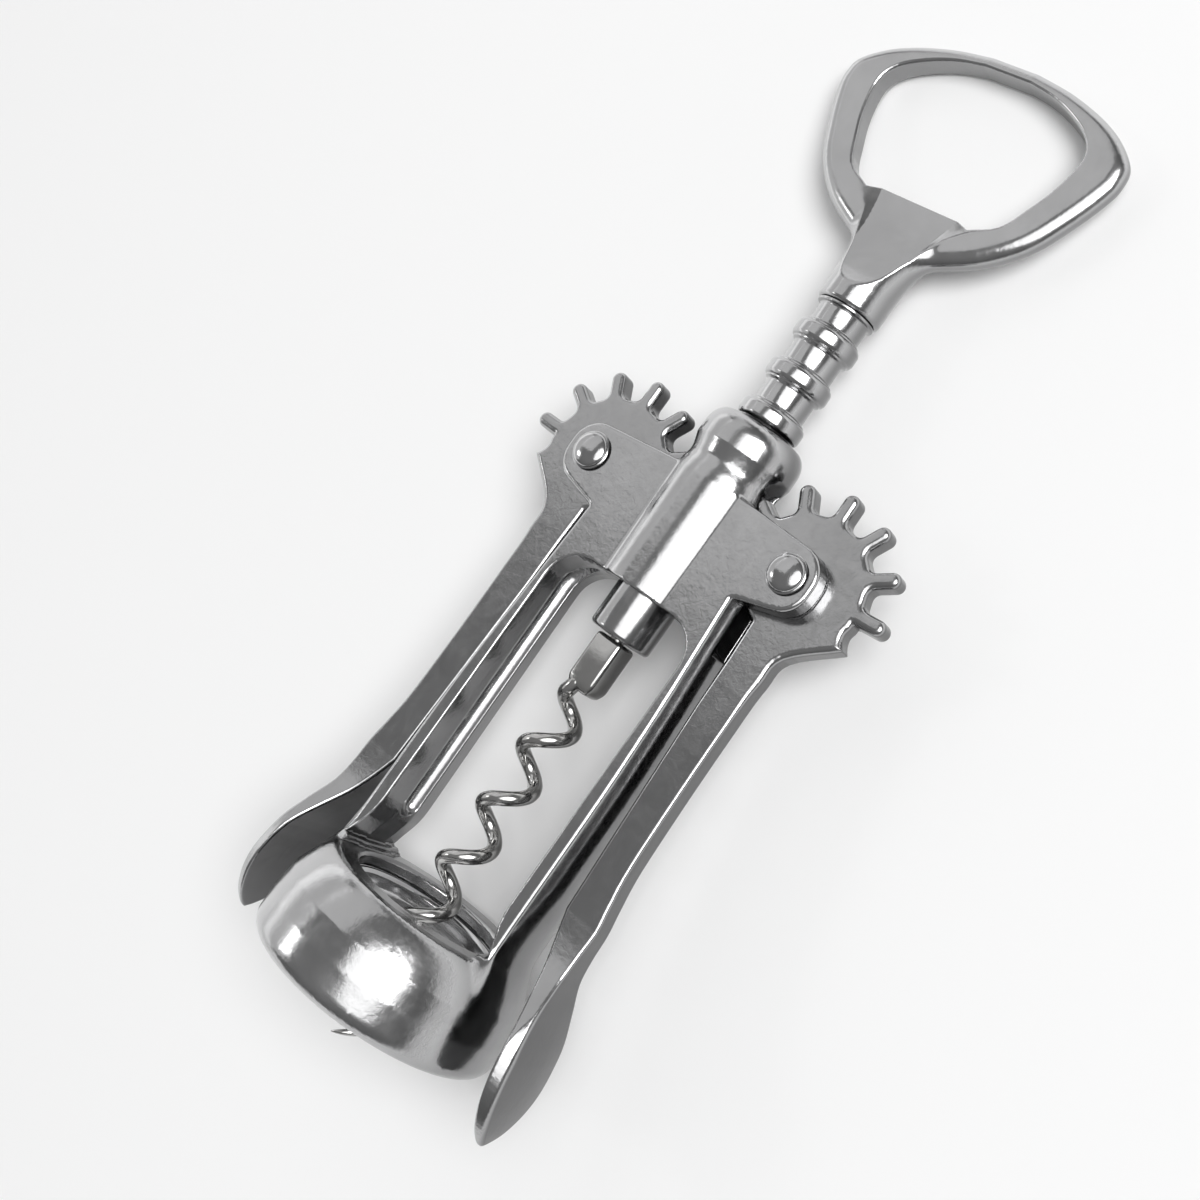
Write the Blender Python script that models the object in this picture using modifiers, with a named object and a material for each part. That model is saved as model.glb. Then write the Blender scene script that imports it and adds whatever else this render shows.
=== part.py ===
"""Wing corkscrew with a bottle-cap lifter as its handle.

The tool lies as it would on a table, on the flat at the bottom of its bell and on the far end of
its handle. The world's origin is the middle of that flat, +X runs towards the handle, +Y towards
the left lever and +Z up. Inside the empty resting_pose the pieces have their own simple frame:
X runs along the spindle, with zero at the two pivots, and Z stands square to the flat sides.
"""
import math

import bmesh
import bpy

MM = 0.001

# Clearance between pieces that touch or move against each other
GAP = 0.3 * MM
# How far a cutter runs past the face that it cuts
OVERRUN = 1.0 * MM
MERGE = 0.001 * MM
ARC_STEP = math.radians(24.0)
# An arc at a corner takes at most this share of each edge beside it
EDGE_SHARE = 0.49

# Toothed lever ends and the rack that turns them
TOOTH_TIP_RADIUS = 15.0 * MM
TOOTH_ROOT_RADIUS = 10.7 * MM
TOOTH_WIDTH = 2.45 * MM
TOOTH_VALLEY_ROUND = 1.2 * MM
TOOTH_COUNT = 7
FIRST_TOOTH_ANGLE = math.radians(86.8)
MESH_SHARE = 0.92
RACK_PITCH = 7.05 * MM
BACKLASH = 0.45 * MM
COLLAR_RADIUS = 5.27 * MM
COLLAR_WIDTH = 2.7 * MM
COLLAR_BEVEL = 0.6 * MM
GROOVE_RADIUS = 4.13 * MM
GROOVE_DISH = 0.35 * MM
COLLAR_COUNT = 5
NOSE_BOTTOM = 21.1 * MM
NOSE_RADIUS = 5.1 * MM
NOSE_ROUND = 0.8 * MM
NOSE_EDGE_SHARE = 0.3
NECK_BOTTOM = 38.0 * MM

# Spindle rod inside the rack, the neck and the shank
ROD_RADIUS = 2.2 * MM
ROD_DEPTH_IN_NECK = 7.0 * MM
SPIGOT_RADIUS = 1.2 * MM
SPIGOT_LENGTH = 4.5 * MM

# Worm and its square shank
SHANK_WIDTH = 5.0 * MM
SHANK_LENGTH = 8.1 * MM
SHANK_BEVEL = 0.6 * MM
WIRE_RADIUS = 1.08 * MM
WORM_RADIUS = 2.7 * MM
WORM_PITCH = 10.45 * MM
WORM_TURNS = 5.9
WORM_START_ANGLE = math.radians(31.0)
WORM_ROOT_LENGTH = 2.8 * MM
WORM_ROOT_SHARE = 0.45
WORM_KNEE_SHARE = 0.85
WORM_POINTS_PER_TURN = 16
TIP_TURNS_SHARE = 0.1
TIP_RADIUS_SHARE = 0.12

# Frame casting: guide tube with its cap
CAP_TOP = 17.5 * MM
CAP_RADIUS = 8.2 * MM
CAP_ROUND = 3.6 * MM
CAP_RIM_WIDTH = 0.3 * MM
CAP_HEIGHT = 6.0 * MM
WAIST_DROP = 2.6 * MM
WAIST_DEPTH = 0.5 * MM
TUBE_RADIUS = 8.05 * MM
TUBE_TAPER = 0.25 * MM
TUBE_DROP = 13.7 * MM

# Frame casting: flat ears that hold the pivots
FLANGE_HALF_THICKNESS = 5.75 * MM
FLANGE_TOP = 5.9 * MM
FLANGE_SLOPE = 0.6 * MM
FLANGE_EDGE_ROUND = 0.6 * MM
FLANGE_CORNER_ROUND = 8.0 * MM
EAR_RADIUS = 4.5 * MM
NOTCH_DEPTH = 7.0 * MM
NOTCH_ROUND = 1.0 * MM
SLOT_CLEARANCE = 0.6 * MM
PIVOT_HOLE_RADIUS = 2.3 * MM

# Frame casting: two arms beside the window
ARM_TOP_RADIUS = 15.3 * MM
ARM_RADIUS = 17.4 * MM
ARM_FLARE = 0.9 * MM
ARM_FLARE_LENGTH = 4.0 * MM
ARM_BOTTOM_SPREAD = 0.65 * MM
ARM_BULGE_SHARE = 0.25
ARM_EMBED = 4.0 * MM
WINDOW_LENGTH = 55.3 * MM
WINDOW_HALF_WIDTH = 13.7 * MM
WINDOW_FOOT_HALF_WIDTH = 15.7 * MM
WINDOW_FOOT_LENGTH = 6.8 * MM
WINDOW_FOOT_ROUND = 12.0 * MM
WINDOW_ROUND = 5.5 * MM
WINDOW_DRAFT = 0.75 * MM
WINDOW_FLAT_HALF_HEIGHT = 2.15 * MM
ARM_GROOVE_HALF_WIDTH = 2.05 * MM
ARM_GROOVE_FOOT = 9.0 * MM
# Where the groove runs out round the window's corner: degrees, share of its half width
ARM_GROOVE_END_SHARES = ((0, 1.0), (15, 1.0), (30, 0.86), (45, 0.6), (58, 0.3))
PLINTH_HEIGHT = 1.0 * MM
PLINTH_WIDTH = 1.4 * MM
PLINTH_ROUND = 0.3 * MM

# Frame casting: bell that sits on the bottle
BELL_LENGTH = 16.6 * MM
BELL_TOP_RADIUS = 16.75 * MM
BELL_RADIUS = 20.93 * MM
BELL_SHOULDER_SHARE = 0.6
BELL_SHOULDER_STATION_SHARES = (0.12, 0.3, 0.55, 0.78)
REST_LAND_PLACE_SHARE = 0.48
REST_LAND_LENGTH = 4.0 * MM
REST_LAND_DROP = 0.33 * MM
BELL_RIM_ROUND = 2.6 * MM
BELL_MOUTH_RADIUS = 16.6 * MM
BELL_MOUTH_ROUND = 1.2 * MM
BELL_TURN_STEPS = 32
THROAT_RADIUS = 12.8 * MM
THROAT_CHAMFER = 0.5 * MM
THROAT_LENGTH = 2.0 * MM

# Ring that centres the worm and stops the bottle's lip
RING_RADIUS = 14.4 * MM
RING_BORE_RADIUS = 11.9 * MM
RING_THICKNESS = 2.4 * MM
RING_CHAMFER = 0.5 * MM

# Pivot rivets
RIVET_RADIUS = 2.0 * MM
RIVET_HEAD_RADIUS = 3.1 * MM
RIVET_HEAD_HEIGHT = 1.3 * MM

# Levers
LEVER_THICKNESS = 4.0 * MM
LEVER_REACH = 89.8 * MM
BLADE_LENGTH = 33.8 * MM
BLADE_OUT = 9.46 * MM
BLADE_HALF_HEIGHT = 7.4 * MM
BAR_INNER_TOP = 2.55 * MM
BAR_TOP_DEPTH = 8.0 * MM
HEEL_ANGLE = math.radians(-112.0)
SPUR_RADIUS = 12.44 * MM
SPUR_ANGLE = math.radians(111.7)
# Where the bar's outer edge runs: share of the bar's length, share of the blade's offset
BAR_EDGE_SHARES = ((0.82, 0.45), (0.35, 0.41), (0.26, 0.44), (0.18, 0.52))
# Blade: share of its length, inner and outer edge as shares of its offset, share of its half height
BLADE_SHARES = (
    (0.0, -0.036, 0.630, 0.27),
    (0.118, 0.101, 0.635, 0.32),
    (0.237, 0.260, 0.660, 0.42),
    (0.370, 0.440, 0.746, 0.68),
    (0.518, 0.630, 0.873, 0.93),
    (0.680, 0.736, 0.968, 1.0),
    (0.799, 0.778, 1.0, 0.89),
    (0.905, 0.800, 0.990, 0.62),
    (0.970, 0.815, 0.955, 0.32),
    (1.0, 0.825, 0.926, 0.08),
)

# Handle with the loop that lifts bottle caps
NECK_LENGTH = 9.2 * MM
NECK_BEVEL = 0.5 * MM
LOOP_LENGTH = 35.3 * MM
LOOP_HALF_WIDTH = 24.8 * MM
LOOP_HALF_THICKNESS = 2.0 * MM
LOOP_EDGE_ROUND = 1.0 * MM
LIP_REACH = 10.0 * MM
HOLE_HALF_WIDTH = 18.0 * MM
LOOP_END_WIDTH = 2.3 * MM
TONGUE_TOP = 3.0 * MM
TONGUE_EDGE = 0.8 * MM
TONGUE_HALF_WIDTH = 6.95 * MM
# Hollow flat of the tongue: share of its length, share of its drop from the neck to the lip
TONGUE_SHARES = ((0.0, 1.0), (0.11, 0.74), (0.43, 0.37), (1.0, 0.0))
# Outer edge: share of the loop's length, share of its half width
LOOP_SHARES = (
    (0.0, 0.238), (0.051, 0.29), (0.15, 0.548), (0.286, 0.758), (0.448, 0.887), (0.618, 0.984),
    (0.703, 1.0), (0.776, 0.972), (0.855, 0.843), (0.909, 0.694), (0.949, 0.524), (0.975, 0.363),
    (0.994, 0.16),
)
# Hole edge beyond the lip: share of the hole's length, share of its half width
HOLE_SHARES = (
    (-0.036, 0.511), (0.063, 0.739), (0.256, 0.867), (0.435, 0.956), (0.655, 1.0),
    (0.785, 0.917), (0.883, 0.717), (0.955, 0.472), (0.991, 0.222),
)
LIP_SHARE = 0.386

# Sizes that follow from the ones above
PIVOT_OFFSET = TOOTH_TIP_RADIUS + GROOVE_RADIUS + GAP
MESH_RADIUS = TOOTH_TIP_RADIUS * MESH_SHARE
TOOTH_STEP = RACK_PITCH / MESH_RADIUS
LAST_TOOTH_ANGLE = FIRST_TOOTH_ANGLE - (TOOTH_COUNT - 1) * TOOTH_STEP
FIRST_GROOVE = MESH_RADIUS * (LAST_TOOTH_ANGLE + math.pi / 2) + BACKLASH
BORE_RADIUS = COLLAR_RADIUS + GAP
SLEEVE_TOP = NECK_BOTTOM - GAP
SLEEVE_BORE_RADIUS = ROD_RADIUS + GAP
SHANK_TOP = NOSE_BOTTOM + GAP
SHANK_BOTTOM = SHANK_TOP + SHANK_LENGTH
BELL_TOP = TUBE_DROP + WINDOW_LENGTH
BELL_BOTTOM = BELL_TOP + BELL_LENGTH
RING_TOP = BELL_TOP + THROAT_LENGTH
RING_BOTTOM = RING_TOP + GAP + RING_THICKNESS
SLOT_RADIUS = TOOTH_TIP_RADIUS + SLOT_CLEARANCE
SLOT_HALF_HEIGHT = LEVER_THICKNESS / 2 + GAP
BAR_LENGTH = LEVER_REACH - BLADE_LENGTH
HANDLE_SHOULDER = NECK_BOTTOM + NECK_LENGTH
HANDLE_END = HANDLE_SHOULDER + LOOP_LENGTH
LIP_PLACE = HANDLE_SHOULDER + LIP_REACH
HOLE_LENGTH = LOOP_LENGTH - LIP_REACH - LOOP_END_WIDTH
REST_LAND_PLACE = BELL_TOP + BELL_LENGTH * REST_LAND_PLACE_SHARE
REST_LAND_RADIUS = BELL_RADIUS - REST_LAND_DROP
HANDLE_CONTACT = HANDLE_END - LOOP_EDGE_ROUND
REST_RISE = REST_LAND_RADIUS - LOOP_HALF_THICKNESS
REST_ANGLE = math.atan2(REST_RISE, HANDLE_CONTACT + REST_LAND_PLACE)


def across_flats(radius, steps):
    """Corner radius of a polygon whose flats lie at the given radius."""
    return radius / math.cos(math.pi / steps)


def rounded(corners):
    """Closed outline through (x, y, radius) corners, each turned with an arc of its radius."""
    points = []
    for index, (x, y, radius) in enumerate(corners):
        before = corners[index - 1]
        after = corners[(index + 1) % len(corners)]
        into = (x - before[0], y - before[1])
        out = (after[0] - x, after[1] - y)
        length_in = math.hypot(*into)
        length_out = math.hypot(*out)
        cross = into[0] * out[1] - into[1] * out[0]
        turn = math.atan2(cross, into[0] * out[0] + into[1] * out[1])
        if radius <= 0 or abs(turn) < ARC_STEP / 8:
            points.append((x, y))
            continue
        reach = radius * math.tan(abs(turn) / 2)
        reach = min(reach, length_in * EDGE_SHARE, length_out * EDGE_SHARE)
        radius = reach / math.tan(abs(turn) / 2)
        side = math.copysign(1.0, turn)
        start = (x - into[0] / length_in * reach, y - into[1] / length_in * reach)
        across = (-side * into[1] / length_in, side * into[0] / length_in)
        centre = (start[0] + across[0] * radius, start[1] + across[1] * radius)
        first = math.atan2(start[1] - centre[1], start[0] - centre[0])
        count = max(1, math.ceil(abs(turn) / ARC_STEP))
        for step in range(count + 1):
            angle = first + turn * step / count
            points.append((centre[0] + radius * math.cos(angle), centre[1] + radius * math.sin(angle)))
    return points


def smooth(points, steps):
    """Open curve through all the points, with the given number of steps between two of them."""
    first = tuple(2 * a - b for a, b in zip(points[0], points[1]))
    last = tuple(2 * a - b for a, b in zip(points[-1], points[-2]))
    padded = [first, *points, last]
    curve = []
    for p0, p1, p2, p3 in zip(padded, padded[1:], padded[2:], padded[3:]):
        for step in range(steps):
            t = step / steps
            curve.append(tuple(
                b + 0.5 * t * (c - a + t * (2 * a - 5 * b + 4 * c - d + t * (3 * (b - c) + d - a)))
                for a, b, c, d in zip(p0, p1, p2, p3)
            ))
    curve.append(tuple(points[-1]))
    return curve


def quarter(along, radius, round_along, round_out, steps):
    """Points of a rounded shoulder, from its top at the smaller radius down to the full radius."""
    angles = [math.pi / 2 * step / steps for step in range(steps + 1)]
    return [
        (along - round_along * (1 - math.cos(angle)), radius - round_out * (1 - math.sin(angle)))
        for angle in angles
    ]


def add_object(name, mesh, collection, parent, location=(0.0, 0.0, 0.0), rotation=(0.0, 0.0, 0.0)):
    """Object with its own mesh, linked and parented."""
    made = bpy.data.objects.new(name, mesh)
    collection.objects.link(made)
    made.parent = parent
    made.location = location
    made.rotation_euler = rotation
    if collection.name == "cutters":
        made.hide_render = True
        made.display_type = "WIRE"
    return made


def turned(name, profile, steps, collection, parent, half_step=False, ring=False):
    """Solid of revolution round the parent's Z axis, from (along, radius) points, top to bottom."""
    mesh = bpy.data.meshes.new(name)
    edges = [(index, index + 1) for index in range(len(profile) - 1)]
    if ring:
        edges.append((len(profile) - 1, 0))
    mesh.from_pydata([(radius, 0.0, along) for along, radius in profile], edges, [])
    turn = math.pi / steps if half_step else 0.0
    made = add_object(name, mesh, collection, parent, rotation=(0.0, 0.0, turn))
    screw = made.modifiers.new("turn", "SCREW")
    screw.axis = "Z"
    screw.angle = 2 * math.pi
    screw.steps = steps
    screw.render_steps = steps
    screw.use_merge_vertices = True
    screw.merge_threshold = MERGE
    return made


def prism(name, outlines, half_height, collection, parent, edge_round=0.0, rotation=(0.0, 0.0, 0.0),
          location=(0.0, 0.0, 0.0)):
    """Flat plate with the given closed outlines, made from a filled 2D curve."""
    curve = bpy.data.curves.new(name, "CURVE")
    curve.dimensions = "2D"
    curve.fill_mode = "BOTH"
    curve.extrude = half_height - edge_round
    if edge_round > 0:
        curve.bevel_depth = edge_round
        curve.bevel_resolution = 1
        curve.offset = -edge_round
    for outline in outlines:
        spline = curve.splines.new("POLY")
        spline.points.add(len(outline) - 1)
        for point, (x, y) in zip(spline.points, outline):
            point.co = (x, y, 0.0, 1.0)
        spline.use_cyclic_u = True
    guide = add_object(name + "_curve", curve, collection, parent, location, rotation)
    return curve_to_mesh(name, guide, collection, parent)


def curve_to_mesh(name, guide, collection, parent):
    """Mesh object in place of a curve object, with its caps welded on."""
    bpy.context.view_layer.update()
    evaluated = guide.evaluated_get(bpy.context.evaluated_depsgraph_get())
    mesh = bpy.data.meshes.new_from_object(evaluated)
    mesh.name = name
    edit = bmesh.new()
    edit.from_mesh(mesh)
    bmesh.ops.remove_doubles(edit, verts=edit.verts, dist=MERGE)
    bmesh.ops.recalc_face_normals(edit, faces=edit.faces)
    edit.to_mesh(mesh)
    edit.free()
    made = add_object(name, mesh, collection, parent)
    made.matrix_world = guide.matrix_world
    bpy.data.objects.remove(guide)
    return made


def swept(name, points, radius, resolution, collection, parent):
    """Round bar along (x, y, z, share of its radius) points, with closed ends."""
    curve = bpy.data.curves.new(name, "CURVE")
    curve.dimensions = "3D"
    curve.bevel_depth = radius
    curve.bevel_resolution = resolution
    curve.use_fill_caps = True
    spline = curve.splines.new("POLY")
    spline.points.add(len(points) - 1)
    for point, (x, y, z, share) in zip(spline.points, points):
        point.co = (x, y, z, 1.0)
        point.radius = share
    guide = add_object(name + "_curve", curve, collection, parent)
    return curve_to_mesh(name, guide, collection, parent)


def lofted(name, rings, collection, parent):
    """Closed shape through (height, outline) rings that all have the same number of points."""
    edit = bmesh.new()
    loops = [[edit.verts.new((x, y, height)) for x, y in outline] for height, outline in rings]
    for below, above in zip(loops, loops[1:]):
        for index, corner in enumerate(below):
            following = (index + 1) % len(below)
            edit.faces.new((corner, below[following], above[following], above[index]))
    edit.faces.new(loops[0])
    edit.faces.new(loops[-1])
    bmesh.ops.recalc_face_normals(edit, faces=edit.faces)
    mesh = bpy.data.meshes.new(name)
    edit.to_mesh(mesh)
    edit.free()
    return add_object(name, mesh, collection, parent)


def cylinder(name, radius, depth, vertices, collection, parent, location=(0.0, 0.0, 0.0)):
    """Upright cylinder whose flats lie at the radius."""
    bpy.ops.mesh.primitive_cylinder_add(
        vertices=vertices, radius=across_flats(radius, vertices), depth=depth)
    made = bpy.context.object
    made.name = name
    for owner in list(made.users_collection):
        owner.objects.unlink(made)
    collection.objects.link(made)
    made.parent = parent
    made.location = location
    if collection.name == "cutters":
        made.hide_render = True
        made.display_type = "WIRE"
    return made


def combine(target, other, operation):
    """Boolean of one object with another."""
    modifier = target.modifiers.new(other.name, "BOOLEAN")
    modifier.operation = operation
    modifier.solver = "EXACT"
    modifier.object = other


def finish(made, colour, roughness):
    """Give a piece its own metal and smooth shading."""
    material = bpy.data.materials.new(made.name)
    material.use_nodes = True
    shader = material.node_tree.nodes["Principled BSDF"]
    shader.inputs["Base Color"].default_value = (*colour, 1.0)
    shader.inputs["Metallic"].default_value = 1.0
    shader.inputs["Roughness"].default_value = roughness
    made.data.materials.clear()
    made.data.materials.append(material)
    if made.data.polygons:
        made.data.shade_smooth()
        made.data.set_sharp_from_angle(angle=ARC_STEP)


def mirrored(outline):
    """Closed outline from its +Y half, which starts and ends near the X axis."""
    return [*outline, *((x, -y) for x, y in reversed(outline))]


def tube_profile():
    """Outside of the guide tube, from the cap's rim down into the window."""
    rim = BORE_RADIUS + CAP_RIM_WIDTH
    cap = quarter(CAP_TOP, CAP_RADIUS, CAP_ROUND, CAP_RADIUS - rim, 4)
    waist = CAP_TOP - CAP_HEIGHT - WAIST_DROP
    return [
        (CAP_TOP, 0.0),
        *cap,
        (CAP_TOP - CAP_HEIGHT, CAP_RADIUS),
        (waist, TUBE_RADIUS - WAIST_DEPTH),
        (waist - WAIST_DROP, TUBE_RADIUS),
        (-TUBE_DROP - OVERRUN, TUBE_RADIUS - TUBE_TAPER),
        (-TUBE_DROP - OVERRUN, 0.0),
    ]


def flange_outline():
    """Both ears and the plate between them, seen from the front."""
    arm_edge = math.sqrt(ARM_TOP_RADIUS ** 2 - FLANGE_HALF_THICKNESS ** 2)
    ear_end = PIVOT_OFFSET + EAR_RADIUS
    below = -TUBE_DROP - WINDOW_ROUND
    half = [
        (below, WINDOW_HALF_WIDTH / 2, 0.0),
        (below, arm_edge, 0.0),
        (-NOTCH_DEPTH, arm_edge, NOTCH_ROUND),
        (-EAR_RADIUS, ear_end, EAR_RADIUS),
        (EAR_RADIUS, ear_end, EAR_RADIUS),
        (FLANGE_TOP - FLANGE_SLOPE, PIVOT_OFFSET - EAR_RADIUS - TOOTH_WIDTH / 2, FLANGE_CORNER_ROUND),
        (FLANGE_TOP, BORE_RADIUS, 0.0),
    ]
    other = [(x, -y, radius) for x, y, radius in reversed(half)]
    return rounded([*other, *half])


def window_outline(height):
    """Opening between the arms at a height off the middle plane, with a low plinth at each foot."""
    slope = WINDOW_DRAFT / (FLANGE_HALF_THICKNESS - WINDOW_FLAT_HALF_HEIGHT)
    inset = slope * (FLANGE_HALF_THICKNESS - height)
    side = WINDOW_HALF_WIDTH - inset
    foot = WINDOW_FOOT_HALF_WIDTH - inset
    half = [
        (-TUBE_DROP, side, WINDOW_ROUND),
        (-BELL_TOP + WINDOW_FOOT_LENGTH, side, WINDOW_FOOT_ROUND),
        (-BELL_TOP + PLINTH_HEIGHT, foot, 0.0),
        (-BELL_TOP + PLINTH_HEIGHT, foot - PLINTH_WIDTH, PLINTH_ROUND),
        (-BELL_TOP, foot - PLINTH_WIDTH, 0.0),
    ]
    other = [(x, -y, radius) for x, y, radius in reversed(half)]
    return rounded([*half, *other])


def arm_groove_points():
    """Centre line of the groove inside the left arm, as (x, y, share of its half width)."""
    wall = WINDOW_HALF_WIDTH - WINDOW_DRAFT
    corner = (-TUBE_DROP - WINDOW_ROUND, wall - WINDOW_ROUND)
    points = [(-BELL_TOP + ARM_GROOVE_FOOT, wall, 1.0)]
    for degrees, share in ARM_GROOVE_END_SHARES:
        angle = math.radians(degrees)
        x = corner[0] + WINDOW_ROUND * math.sin(angle)
        points.append((x, corner[1] + WINDOW_ROUND * math.cos(angle), share))
    return points


def arm_profile():
    """Outside of both arms as one turned shape, ending inside the bell."""
    foot = -BELL_TOP + ARM_FLARE_LENGTH
    top = -NOTCH_DEPTH
    bulge = ARM_TOP_RADIUS + (ARM_RADIUS - ARM_TOP_RADIUS) * (1 - ARM_BULGE_SHARE)
    middle = (top + foot) / 2
    return [
        (top, 0.0),
        (top, ARM_TOP_RADIUS),
        (middle, bulge),
        (foot, ARM_RADIUS),
        (-BELL_TOP, ARM_RADIUS + ARM_FLARE / 2),
        (-BELL_TOP - ARM_EMBED / 2, ARM_RADIUS + ARM_FLARE),
        (-BELL_TOP - ARM_EMBED, 0.0),
    ]


def bell_profile():
    """Outside of the bell, with the straight land that it rests on."""
    slope = math.tan(REST_ANGLE)
    land_top = -REST_LAND_PLACE + REST_LAND_LENGTH / 2
    land_bottom = -REST_LAND_PLACE - REST_LAND_LENGTH / 2
    land_rise = slope * REST_LAND_LENGTH / 2
    rim = -BELL_BOTTOM
    shoulder = -BELL_TOP
    shoulder_height = shoulder - land_top
    land_top_radius = REST_LAND_RADIUS - land_rise
    shoulder_points = [
        (
            shoulder - shoulder_height * share,
            BELL_TOP_RADIUS + (land_top_radius - BELL_TOP_RADIUS) * share ** BELL_SHOULDER_SHARE,
        )
        for share in BELL_SHOULDER_STATION_SHARES
    ]
    rim_points = [
        (
            rim + BELL_RIM_ROUND * (1 - math.sin(angle)),
            BELL_RADIUS - BELL_RIM_ROUND * (1 - math.cos(angle)),
        )
        for angle in (math.radians(degrees) for degrees in (0, 30, 60, 90))
    ]
    points = [
        (shoulder + OVERRUN, BELL_TOP_RADIUS - OVERRUN),
        (shoulder, BELL_TOP_RADIUS),
        *shoulder_points,
        (land_top, land_top_radius),
        (land_bottom, REST_LAND_RADIUS + land_rise),
        *rim_points,
    ]
    flats = [(along, across_flats(radius, BELL_TURN_STEPS)) for along, radius in points]
    return [(flats[0][0], 0.0), *flats, (flats[-1][0], 0.0)]


def bell_cavity_profile():
    """Throat, seat of the ring, and the wide mouth for the bottle."""
    steps = BELL_TURN_STEPS
    seat = RING_RADIUS + GAP
    mouth = BELL_MOUTH_RADIUS
    points = [
        (-BELL_TOP + OVERRUN, THROAT_RADIUS + THROAT_CHAMFER),
        (-BELL_TOP, THROAT_RADIUS + THROAT_CHAMFER),
        (-BELL_TOP - THROAT_CHAMFER, THROAT_RADIUS),
        (-RING_TOP, THROAT_RADIUS),
        (-RING_TOP, seat),
        (-RING_BOTTOM, seat),
        (-RING_BOTTOM, mouth - BELL_MOUTH_ROUND),
        (-RING_BOTTOM - BELL_MOUTH_ROUND, mouth),
        (-BELL_BOTTOM + BELL_MOUTH_ROUND, mouth),
        (-BELL_BOTTOM, mouth + BELL_MOUTH_ROUND),
        (-BELL_BOTTOM - OVERRUN, mouth + BELL_MOUTH_ROUND),
    ]
    flats = [(along, across_flats(radius, steps)) for along, radius in points]
    return [(flats[0][0], 0.0), *flats, (flats[-1][0], 0.0)]


def make_frame_casting(parts, cutters, pose, axis):
    """Tube, ears, arms and bell in one casting."""
    casting = turned("frame_casting", tube_profile(), 40, parts, axis)
    flange = prism(
        "flange_form", [flange_outline()], FLANGE_HALF_THICKNESS, cutters, pose, FLANGE_EDGE_ROUND)
    arms = turned("arms_form", arm_profile(), 48, cutters, axis)
    narrow = FLANGE_HALF_THICKNESS
    wide = FLANGE_HALF_THICKNESS + ARM_BOTTOM_SPREAD
    deep = -BELL_TOP - ARM_EMBED - OVERRUN
    slab_outline = [
        (-NOTCH_DEPTH + OVERRUN, -narrow),
        (-NOTCH_DEPTH + OVERRUN, narrow),
        (deep, wide),
        (deep, -wide),
    ]
    slab = prism(
        "arm_slab", [slab_outline], ARM_RADIUS + OVERRUN * 2, cutters, pose,
        rotation=(math.pi / 2, 0.0, 0.0))
    bell = turned("bell_form", bell_profile(), BELL_TURN_STEPS, cutters, axis, half_step=True)
    combine(arms, slab, "INTERSECT")
    combine(casting, flange, "UNION")
    combine(casting, arms, "UNION")
    combine(casting, bell, "UNION")

    face = FLANGE_HALF_THICKNESS + OVERRUN
    upper = [(height, window_outline(height)) for height in (WINDOW_FLAT_HALF_HEIGHT, face)]
    upper.append((BELL_RADIUS, window_outline(face)))
    lower = [(-height, outline) for height, outline in reversed(upper)]
    combine(casting, lofted("window_cutter", [*lower, *upper], cutters, pose), "DIFFERENCE")
    for name, side in (("left_arm_groove", 1), ("right_arm_groove", -1)):
        path = [(x, side * y, 0.0, share) for x, y, share in arm_groove_points()]
        groove = swept(name, path, ARM_GROOVE_HALF_WIDTH, 3, cutters, pose)
        combine(casting, groove, "DIFFERENCE")
    cavity = turned(
        "bell_cavity_cutter", bell_cavity_profile(), BELL_TURN_STEPS, cutters, axis, half_step=True)
    combine(casting, cavity, "DIFFERENCE")
    bore_radius = across_flats(BORE_RADIUS, 32)
    bore_profile = [
        (CAP_TOP + OVERRUN, 0.0),
        (CAP_TOP + OVERRUN, bore_radius),
        (-TUBE_DROP - OVERRUN, bore_radius),
        (-TUBE_DROP - OVERRUN, 0.0),
    ]
    combine(casting, turned("bore_cutter", bore_profile, 32, cutters, axis), "DIFFERENCE")
    for side, place in (("left", PIVOT_OFFSET), ("right", -PIVOT_OFFSET)):
        slot = cylinder(
            side + "_slot_cutter", SLOT_RADIUS, SLOT_HALF_HEIGHT * 2, 56, cutters, pose,
            (0.0, place, 0.0))
        combine(casting, slot, "DIFFERENCE")
        hole_depth = (FLANGE_HALF_THICKNESS + OVERRUN) * 2
        hole = cylinder(
            side + "_pivot_hole", PIVOT_HOLE_RADIUS, hole_depth, 20, cutters, pose, (0.0, place, 0.0))
        combine(casting, hole, "DIFFERENCE")
    finish(casting, (0.60, 0.60, 0.61), 0.24)


def make_throat_ring(parts, axis):
    """Stepped ring pressed in below the bell's throat."""
    top = -RING_TOP - GAP
    profile = [
        (top, RING_BORE_RADIUS + RING_CHAMFER),
        (top, RING_RADIUS - RING_CHAMFER),
        (top - RING_CHAMFER, RING_RADIUS),
        (top - RING_THICKNESS, RING_RADIUS),
        (top - RING_THICKNESS, RING_BORE_RADIUS),
        (top - RING_CHAMFER, RING_BORE_RADIUS),
    ]
    ring = turned("throat_ring", profile, BELL_TURN_STEPS, parts, axis, half_step=True, ring=True)
    finish(ring, (0.55, 0.55, 0.56), 0.22)


def make_rivet(name, place, parts, pose):
    """Pivot rivet with a low dome at each end."""
    base = FLANGE_HALF_THICKNESS + GAP
    dome = [
        (
            base + RIVET_HEAD_HEIGHT * math.cos(angle),
            RIVET_HEAD_RADIUS * math.sin(angle),
        )
        for angle in (math.radians(degrees) for degrees in (0, 25, 50, 72, 90))
    ]
    lower = [(-along, radius) for along, radius in reversed(dome)]
    profile = [*dome, (base, RIVET_RADIUS), (-base, RIVET_RADIUS), *lower]
    rivet = turned(name, profile, 20, parts, pose)
    rivet.location = (0.0, place, 0.0)
    finish(rivet, (0.64, 0.64, 0.65), 0.2)


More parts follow.
